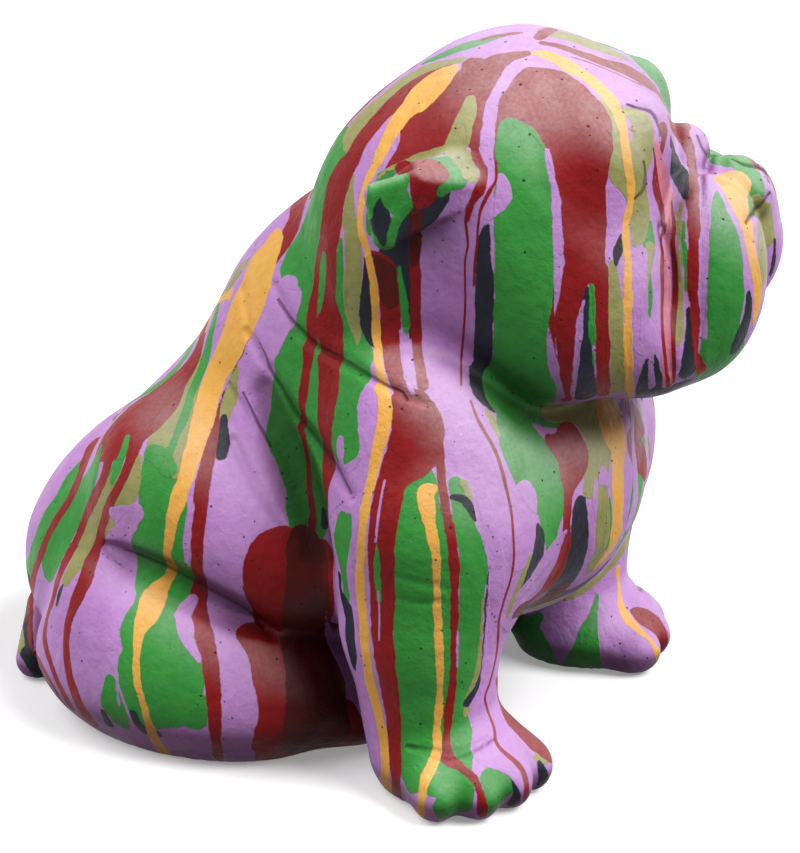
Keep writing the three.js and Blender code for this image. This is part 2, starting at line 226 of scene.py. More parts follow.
def head_form(p):
    q = in_head(p)
    skull = lump(q, (0, 5, 4), (98, 88, 89))
    nape = lump(q, (0, 57, -27), (86, 66, 85))
    nose = lump(q, (0, -104, 4), (24, 26, 24))
    d = melt_all(skull, (nape, 22), (nose, 8))
    for side in (-1, 1):
        temple = lump(q, (side * 44, -34, 34), (42, 34, 40))
        cheek = lump(q, (side * 56, -18, -38), (44, 56, 57))
        brow = lump(q, (side * 45, -53, 43), (26, 20, 27))
        jowl = lump(q, (side * 44, -60, -60), (34, 40, 34))
        flew = lump(q, (side * 32, -86, -33), (36, 40, 57), tilt=6)
        d = melt_all(d, (temple, 16), (cheek, 24), (brow, 4), (jowl, 12), (flew, 8))
        eye = lump(q, (side * 34, -67, 28), (11, 11, 11))
        d = melt_all(d, (nose_fold(q, side), 4), (eye, 2))
    muzzle = lump(q, (0, -102, -20), (22, 33, 40))
    right_wing = lump(q, (-13, -116, 8), (12, 12, 13))
    left_wing = lump(q, (13, -116, 8), (12, 12, 13))
    chin = lump(q, (0, -84, -78), (32, 24, 16))
    return melt_all(d, (muzzle, 6), (right_wing, 3), (left_wing, 3), (chin, 6))


def ear_form(p, side):
    """A rose ear: a leaf that folds back on itself, on a thick root."""
    q = in_head(p) * np.array([side, 1, 1], np.float32)
    front, fold, back, tip = (86, 24, 27), (105, 50, 33), (101, 73, 25), (103, 68, 4)
    front_leaf = flap(q, front, fold, tip, 6)
    back_leaf = flap(q, fold, back, tip, 6)
    root = flap(q, (74, 24, 30), (92, 50, 32), (86, 60, 24), 9)
    return melt_all(front_leaf, (back_leaf, 3), (root, 4))


# Each casting: its form, how softly it melts into what came before, and a box that holds it
CASTINGS = {
    "torso": (torso_form, 1, (-200, -190, -30), (200, 270, 390)),
    "right_hind_leg": (lambda p: hind_leg_form(p, -1), 6, (-190, -60, -60), (0, 210, 140)),
    "left_hind_leg": (lambda p: hind_leg_form(p, 1), 6, (0, -60, -60), (190, 210, 140)),
    "right_foreleg": (lambda p: foreleg_form(p, -1), 12, (-190, -180, -50), (-20, 30, 240)),
    "left_foreleg": (lambda p: foreleg_form(p, 1), 12, (20, -180, -50), (190, 30, 240)),
    "tail": (tail_form, 4, (-130, 160, -40), (20, 270, 80)),
    "head": (head_form, 8, (-160, -270, 140), (170, 120, 440)),
    "right_ear": (lambda p: ear_form(p, -1), 8, (-170, -130, 250), (-30, 60, 390)),
    "left_ear": (lambda p: ear_form(p, 1), 8, (30, -130, 250), (170, 90, 390)),
}


def casting_distances(p):
    """Every casting's distances by themselves."""
    return {name: inside_box(form, p, low, high) for name, (form, _, low, high) in CASTINGS.items()}


def bare_clay(p):
    """The statue before its creases, with the flat underside and the seat of the base plate."""
    p = np.asarray(p, np.float32)
    d = None
    for name, distance in casting_distances(p).items():
        d = distance if d is None else melt(d, distance, CASTINGS[name][1])
    seat = np.maximum(
        np.linalg.norm(p[:, :2] - np.array(PLATE_MIDDLE, np.float32), axis=1) - PLATE_CLEAR,
        p[:, 2] - PLATE_TOP,
    )
    return np.maximum(np.maximum(d, PAD_THICKNESS - p[:, 2]), -seat)


def slope(form, p, step=0.5):
    """The form's gradient by central differences."""
    g = np.empty((len(p), 3), np.float32)
    for axis in range(3):
        shift = np.zeros(3, np.float32)
        shift[axis] = step
        g[:, axis] = (form(p + shift) - form(p - shift)) / (2 * step)
    return g


def settle(form, p, rounds=2):
    """Moves points along the gradient onto the form's surface."""
    for _ in range(rounds):
        g = slope(form, p)
        p = p - form(p)[:, None] * g / np.maximum((g * g).sum(1), GENTLEST_SLOPE)[:, None]
    return p


def unit(v):
    return v / np.maximum(np.linalg.norm(v, axis=-1, keepdims=True), 1e-9)


# The photograph's view of the clay

def camera_axes():
    """The camera's directions to the right, up and back."""
    a, e = radians(AZIMUTH), radians(ELEVATION)
    back = np.array([sin(a) * cos(e), -cos(a) * cos(e), sin(e)])
    right = np.array([cos(a), sin(a), 0.0])
    return right, np.cross(back, right), back


RIGHT, UP, BACK = camera_axes()
EYE = TARGET + BACK * DISTANCE


def to_photo(p):
    """Photograph pixels of places, and how far they are from the camera."""
    q = p - EYE
    depth = -(q @ BACK)
    x = PHOTO_SIZE[0] / 2 + FOCAL_PIXELS * (q @ RIGHT) / depth
    y = PHOTO_SIZE[1] / 2 - FOCAL_PIXELS * (q @ UP) / depth
    return x, y, depth


def from_photo(x, y):
    """Where the lines of sight through photograph pixels meet the clay, or pass closest to it."""
    across = (x - PHOTO_SIZE[0] / 2) / FOCAL_PIXELS
    rise = (PHOTO_SIZE[1] / 2 - y) / FOCAL_PIXELS
    sight = unit(across[:, None] * RIGHT + rise[:, None] * UP - BACK)
    run = np.full(len(x), DISTANCE - SIGHT_REACH)
    best, best_run = np.full(len(x), FAR), run.copy()
    for _ in range(SIGHT_STEPS):
        d = bare_clay(EYE + sight * run[:, None])
        closer = d < best - CLOSER
        best[closer], best_run[closer] = d[closer], run[closer]
        stride = np.clip(d * STRIDE_SHARE, SHORTEST_STRIDE, LONGEST_STRIDE)
        run = run + np.where(d > SHORTEST_STRIDE, stride, 0)
        run = np.minimum(run, DISTANCE + SIGHT_REACH)
    return settle(bare_clay, (EYE + sight * best_run[:, None]).astype(np.float32), 3)


def smooth_path(points, spacing):
    """A Catmull-Rom curve through rows of numbers, with a point every few units of its first two."""
    points = np.array(points, float)
    ends = np.vstack([2 * points[0] - points[1], points, 2 * points[-1] - points[-2]])
    rows = []
    for i in range(len(points) - 1):
        a, b, c, d = ends[i:i + 4]
        count = max(int(np.ceil(np.linalg.norm((c - b)[:2]) / spacing)), 1)
        t = (np.arange(count) / count)[:, None]
        square, cube = 2 * a - 5 * b + 4 * c - d, 3 * b - a - 3 * c + d
        rows.append(0.5 * (2 * b + (c - a) * t + square * t ** 2 + cube * t ** 3))
    return np.vstack(rows + [points[-1:]])


def trace(paths, spacing=5.0):
    """Runs through photograph pixels (x, y, half width), as places, half widths and normals."""
    rows = [smooth_path(path, spacing) for path in paths]
    joined = np.vstack(rows)
    places = from_photo(joined[:, 0], joined[:, 1])
    normals = unit(slope(bare_clay, places))
    ahead = unit(np.vstack([np.gradient(run[:, :2], axis=0) for run in rows]))
    facing = normals @ BACK
    lean = (normals @ RIGHT) * -ahead[:, 1] + (normals @ -UP) * ahead[:, 0]
    stretch = np.sqrt(1 + (lean / np.maximum(facing, LEAST_FACING)) ** 2)
    widths = np.maximum(joined[:, 2], LEAST_HALF_WIDTH) * to_photo(places)[2] / FOCAL_PIXELS
    widths = widths * np.clip(stretch, 1, MOST_STRETCH)
    cuts = np.cumsum([len(run) for run in rows])[:-1]
    return list(zip(np.split(places, cuts), np.split(widths, cuts), np.split(normals, cuts)))


def run_distance(p, places, radii):
    """Distance of each point from a run of tapering capsules, where it comes within REACH."""
    d = np.full(len(p), REACH, np.float32)
    for first in range(0, len(places) - 1, RUN_GROUP):
        b = places[first + 1:first + 1 + RUN_GROUP]
        a = places[first:first + len(b)]
        ra, rb = radii[first:first + len(b)], radii[first + 1:first + 1 + len(b)]
        keep = np.linalg.norm(b - a, axis=1) < RUN_BREAK
        if not keep.any():
            continue
        a, b, ra, rb = a[keep], b[keep], ra[keep], rb[keep]
        most = max(ra.max(), rb.max()) + REACH
        low, high = np.minimum(a.min(0), b.min(0)) - most, np.maximum(a.max(0), b.max(0)) + most
        near = np.flatnonzero(((p > low) & (p < high)).all(1))
        if not len(near):
            continue
        q = p[near][:, None, :] - a[None]
        along = b - a
        share = np.clip((q * along).sum(2) / np.maximum((along * along).sum(1), 1e-6), 0, 1)
        gap = np.linalg.norm(q - share[:, :, None] * along, axis=2) - (ra + (rb - ra) * share)
        d[near] = np.minimum(d[near], gap.min(1))
    return d


# Creases of the skin: photograph pixels with a half width, then the depth in millimetres. The other
# side of the dog has the same ones
CREASES = {
    "neck": (((274, 284, 3), (292, 323, 5), (307, 339, 5.5), (319, 348, 5.5), (340, 359, 5.5), (370, 376, 5),
              (386, 385, 4.5), (405, 396, 4), (428, 404, 3)), 3.8),
    "shoulder": (((246, 330, 3), (268, 369, 5), (283, 394, 6), (300, 423, 6.5), (319, 450, 6.5),
                  (332, 466, 6), (351, 496, 4)), 3.8),
    "back": (((228, 385, 3), (240, 405, 4), (255, 430, 5), (268, 450, 5), (278, 470, 4)), 2.2),
    "nape": (((242, 289, 3), (246, 310, 3.5), (250, 329, 3)), 1.2),
    "flank": (((106, 547, 4), (128, 557, 8), (161, 570, 10), (188, 584, 11), (224, 604, 11), (249, 618, 10),
               (272, 632, 6)), 5.5),
    "loin": (((262, 392, 12), (276, 430, 18), (294, 470, 21), (310, 512, 20), (320, 548, 14)), 6.0),
    "fold": (((232, 440, 4), (252, 478, 7), (276, 512, 8), (300, 540, 6)), 2.0),
    "wrist_top": (((396, 577, 3), (415, 583, 4), (437, 586, 4), (446, 590, 3)), 1.0),
    "wrist_low": (((398, 600, 3), (420, 604, 4), (440, 602, 3)), 0.9),
    "toes": (((408, 748, 2), (430, 752, 4), (452, 755, 4), (472, 748, 4), (490, 738, 3)), 1.8),
}
HEAD_CREASES = {
    "cheek": (((662, 229, 4), (671, 271, 5), (668, 324, 5), (672, 372, 4)), 2.2),
    "lip": (((700, 165, 4), (703, 229, 5), (702, 300, 5), (700, 365, 4)), 1.2),
    "brow": (((622, 109, 3), (640, 107, 4), (652, 111, 4), (660, 123, 4)), 1.8),
    "nose": (((718, 147, 3), (731, 155, 4), (744, 163, 4), (761, 167, 3)), 1.8),
    "wing": (((769, 196, 3), (762, 206, 4), (753, 214, 4), (747, 222, 3)), 1.8),
}

# Wrinkles too fine for the mesh, with the bottoms of the creases: photograph pixels and half widths
WRINKLES = {
    "neck": ((280, 300, 0.8), (292, 323, 1.2), (307, 339, 1.5), (319, 348, 1.7), (340, 359, 1.7),
             (370, 376, 1.5), (386, 385, 1.2), (405, 396, 0.9)),
    "shoulder": ((258, 348, 0.8), (268, 369, 1.1), (283, 394, 1.4), (300, 423, 1.5), (319, 450, 1.5),
                 (332, 466, 1.2), (347, 490, 0.8)),
    "back": ((244, 396, 0.6), (251, 410, 0.8), (263, 430, 1), (270, 442, 0.7)),
    "flank": ((122, 554, 0.6), (132, 558, 1), (161, 570, 1.2), (188, 584, 1.4), (224, 604, 1.4),
              (249, 618, 1.2), (262, 626, 0.8)),
}
HEAD_WRINKLES = {
    "brow": ((632, 106, 0.7), (645, 108, 1.2), (653, 112, 1.4), (659, 122, 1.2), (660, 132, 0.8)),
    "eye": ((644, 166, 0.8), (645, 178, 1.3), (643, 190, 1.3), (637, 197, 0.8)),
    "bridge": ((699, 139, 0.8), (702, 147, 1.3), (706, 154, 0.9)),
    "nose": ((735, 158, 0.6), (744, 163, 1.3), (752, 165, 1.5), (761, 167, 1.3), (766, 169, 0.7)),
    "wing": ((769, 196, 0.8), (762, 206, 1.2), (753, 214, 1.3), (748, 221, 0.8)),
}


def other_side(v, on_head, is_place=True):
    """Places or directions, mirrored to the other side of the dog or of its turned head."""
    if not on_head:
        return v * np.array([-1, 1, 1])
    if is_place:
        return from_head(in_head(v.astype(np.float32)) * np.array([-1, 1, 1], np.float32))
    turn = rot(HEAD_TURN)
    return (v @ turn * np.array([-1, 1, 1])) @ turn.T


def crease_runs():
    """The creases of both sides of the dog, as places, half widths and a depth."""
    runs = []
    for creases, on_head in ((CREASES, False), (HEAD_CREASES, True)):
        traced = trace([path for path, _ in creases.values()])
        for (places, radii, _), (_, depth) in zip(traced, creases.values()):
            runs.append((places, radii, depth))
            runs.append((other_side(places, on_head), radii, depth))
    return runs


creases = crease_runs()


def crease_depth(p):
    """How deep the creases press the clay in."""
    total = np.zeros(len(p), np.float32)
    for places, radii, depth in creases:
        most = 2.5 * radii.max()
        low, high = places.min(0) - most, places.max(0) + most
        near = np.flatnonzero(((p > low) & (p < high)).all(1))
        if not len(near):
            continue
        q = p[near]
        best = np.full(len(q), FAR, np.float32)
        wide = np.ones(len(q), np.float32)
        for a, b, ra, rb in zip(places[:-1], places[1:], radii[:-1], radii[1:]):
            along = (b - a).astype(np.float32)
            share = np.clip(((q - a) @ along) / max(along @ along, 1e-6), 0, 1)
            gap = np.linalg.norm(q - a - share[:, None] * along, axis=1)
            closer = gap < best
            best[closer] = gap[closer]
            wide[closer] = (ra + (rb - ra) * share)[closer]
        total[near] = np.maximum(total[near], depth * np.exp(-(best / wide) ** 2))
    return total


def onto_clay(runs):
    """The same runs with their places moved down into the creases."""
    cuts = np.cumsum([len(places) for places, *_ in runs])[:-1]
    joined = settle(clay, np.vstack([places for places, *_ in runs]).astype(np.float32), 3)
    return [(places, *rest) for places, (_, *rest) in zip(np.split(joined, cuts), runs)]


def unevenness(p):
    """The hand-smoothed clay's slow swells."""
    x, y, z = p[:, 0], p[:, 1], p[:, 2]
    slow = np.sin(x / 19 + 1.3 * np.sin(z / 37)) * np.sin(y / 23 + 1.1) * np.sin(z / 17 + 0.6)
    quick = np.sin(x / 9.1 + 2 + y / 31) * np.sin(y / 8.3) * np.sin(z / 10.7 + 1.9)
    return (SLOW_SWELL * slow + QUICK_SWELL * quick).astype(np.float32)


def clay(p):
    """The statue with its creases and swells."""
    p = np.asarray(p, np.float32)
    d = bare_clay(p)
    skin = np.abs(d) < SKIN
    worked = np.zeros(len(p), np.float32)
    if skin.any():
        q = p[skin]
        fade = np.clip((q[:, 2] - PAD_THICKNESS) / GROUND_FADE, 0, 1)
        worked[skin] = (crease_depth(q) + unevenness(q)) * fade
    return d + worked


# Mesh of the clay by surface nets

def sampled(form, low, high):
    """The form on a fine grid near its surface, and on a coarse one elsewhere."""
    low = np.array(low, float)
    n = np.ceil((np.array(high) - low) / (CELL * COARSE)).astype(int) * COARSE + 1
    blocks = (n - 1) // COARSE
    axes = [low[i] + np.arange(blocks[i] + 1) * CELL * COARSE for i in range(3)]
    corners = np.stack(np.meshgrid(*axes, indexing="ij"), -1).reshape(-1, 3)
    rough = form(corners).reshape(blocks + 1)
    near = np.abs(rough) < CELL * COARSE * NEAR_BLOCKS
    live = np.zeros(blocks, bool)
    for i, j, k in np.ndindex(2, 2, 2):
        live |= near[i:blocks[0] + i, j:blocks[1] + j, k:blocks[2] + k]
    fine = rough
    for axis in range(3):
        fine = np.repeat(fine, COARSE, axis)
    fine = fine[:n[0], :n[1], :n[2]].astype(np.float32)
    steps = np.arange(COARSE + 1)
    offsets = np.stack(np.meshgrid(steps, steps, steps, indexing="ij"), -1).reshape(-1, 3)
    wanted = np.zeros(n, bool)
    cells = (np.argwhere(live)[:, None, :] * COARSE + offsets[None]).reshape(-1, 3)
    wanted[cells[:, 0], cells[:, 1], cells[:, 2]] = True
    p = (low + np.argwhere(wanted) * CELL).astype(np.float32)
    fine[wanted] = np.concatenate([form(p[i:i + BATCH]) for i in range(0, len(p), BATCH)])
    return fine, low


def surface_net(values, low):
    """Points near the zero level, one in each crossed cell, and the quads between them."""
    inside = values < 0
    n = values.shape
    corner = list(np.ndindex(2, 2, 2))
    count = np.zeros([size - 1 for size in n], np.int8)
    for i, j, k in corner:
        count += inside[i:n[0] - 1 + i, j:n[1] - 1 + j, k:n[2] - 1 + k]
    crossed = (count > 0) & (count < 8)
    cells = np.argwhere(crossed)
    index = np.full(crossed.shape, -1, np.int64)
    index[crossed] = np.arange(len(cells))
    at = np.stack([values[tuple((cells + c).T)] for c in corner], 1)
    total, hits = np.zeros((len(cells), 3)), np.zeros(len(cells))
    for a in range(8):
        for b in range(a + 1, 8):
            edge = np.array(corner[b]) - np.array(corner[a])
            if np.abs(edge).sum() != 1:
                continue
            crosses = (at[:, a] < 0) != (at[:, b] < 0)
            share = np.where(crosses, at[:, a] / np.where(crosses, at[:, a] - at[:, b], 1), 0)
            total += np.where(crosses[:, None], np.array(corner[a]) + share[:, None] * edge, 0)
            hits += crosses
    points = low + (cells + total / hits[:, None]) * CELL
    quads = []
    for axis in range(3):
        ahead = [slice(None)] * 3
        behind = [slice(None)] * 3
        ahead[axis], behind[axis] = slice(1, None), slice(None, -1)
        here, there = inside[tuple(behind)], inside[tuple(ahead)]
        edges = np.argwhere(here != there)
        u, v = (axis + 1) % 3, (axis + 2) % 3
        edges = edges[(edges[:, u] > 0) & (edges[:, v] > 0)]
        outward = here[tuple(edges.T)]
        ring = []
        for du, dv in ((0, 0), (1, 0), (1, 1), (0, 1)):
            cell = edges.copy()
            cell[:, u] -= du
            cell[:, v] -= dv
            ring.append(index[tuple(cell.T)])
        ring = np.stack(ring, 1)
        ring[~outward] = ring[~outward][:, ::-1]
        quads.append(ring)
    return points, np.concatenate(quads)


def face_pairs(quads):
    """Quads that share an edge."""
    edges = np.sort(np.stack([quads, np.roll(quads, -1, 1)], 2).reshape(-1, 2), 1)
    face = np.repeat(np.arange(len(quads)), 4)
    order = np.lexsort((edges[:, 1], edges[:, 0]))
    edges, face = edges[order], face[order]
    same = (edges[1:] == edges[:-1]).all(1)
    return np.stack([face[:-1][same], face[1:][same]], 1)


def islands(pairs, count):
    """A number for each face that it shares with the faces joined to it."""
    label = np.arange(count)
    while True:
        lowest = np.minimum(label[pairs[:, 0]], label[pairs[:, 1]])
        merged = label.copy()
        np.minimum.at(merged, pairs[:, 0], lowest)
        np.minimum.at(merged, pairs[:, 1], lowest)
        merged = merged[merged]
        if (merged == label).all():
            return label
        label = merged


def join_strays(owner, pairs, owners):
    """Gives the faces that lie apart from their casting to the casting round them."""
    label = islands(pairs[owner[pairs[:, 0]] == owner[pairs[:, 1]]], len(owner))
    sizes = np.bincount(label, minlength=len(owner))
    stray = np.zeros(len(owner), bool)
    for i in range(owners):
        mine = owner == i
        main = label[mine][np.argmax(sizes[label[mine]])]
        stray |= mine & (label != main)
    while stray.any():
        votes = np.zeros((len(owner), owners), np.int32)
        for a, b in ((0, 1), (1, 0)):
            border = pairs[stray[pairs[:, a]] & ~stray[pairs[:, b]]]
            np.add.at(votes, (border[:, a], owner[border[:, b]]), 1)
        ready = votes.sum(1) > 0
        if not ready.any():
            break
        owner[ready] = votes[ready].argmax(1)
        stray[ready] = False
    return owner


def label_faces(points, quads, rounds=6, neighbours=10):
    """The casting that each quad belongs to, with ragged borders evened out by its neighbours' votes."""
    names = list(CASTINGS)
    middles = points[quads].mean(1).astype(np.float32)
    distances = casting_distances(middles)
    owner = np.argmin(np.stack([distances[name] for name in names], 1), 1)
    for _ in range(rounds):
        votes = np.zeros((len(points), len(names)), np.int32)
        for corner in range(4):
            np.add.at(votes, (quads[:, corner], owner), 1)
        own = np.eye(len(names), dtype=np.int32)[owner]
        owner = np.argmax(votes[quads].sum(1) * neighbours + own, 1)
    owner = join_strays(owner, face_pairs(quads), len(names))
    return {name: owner == i for i, name in enumerate(names)}


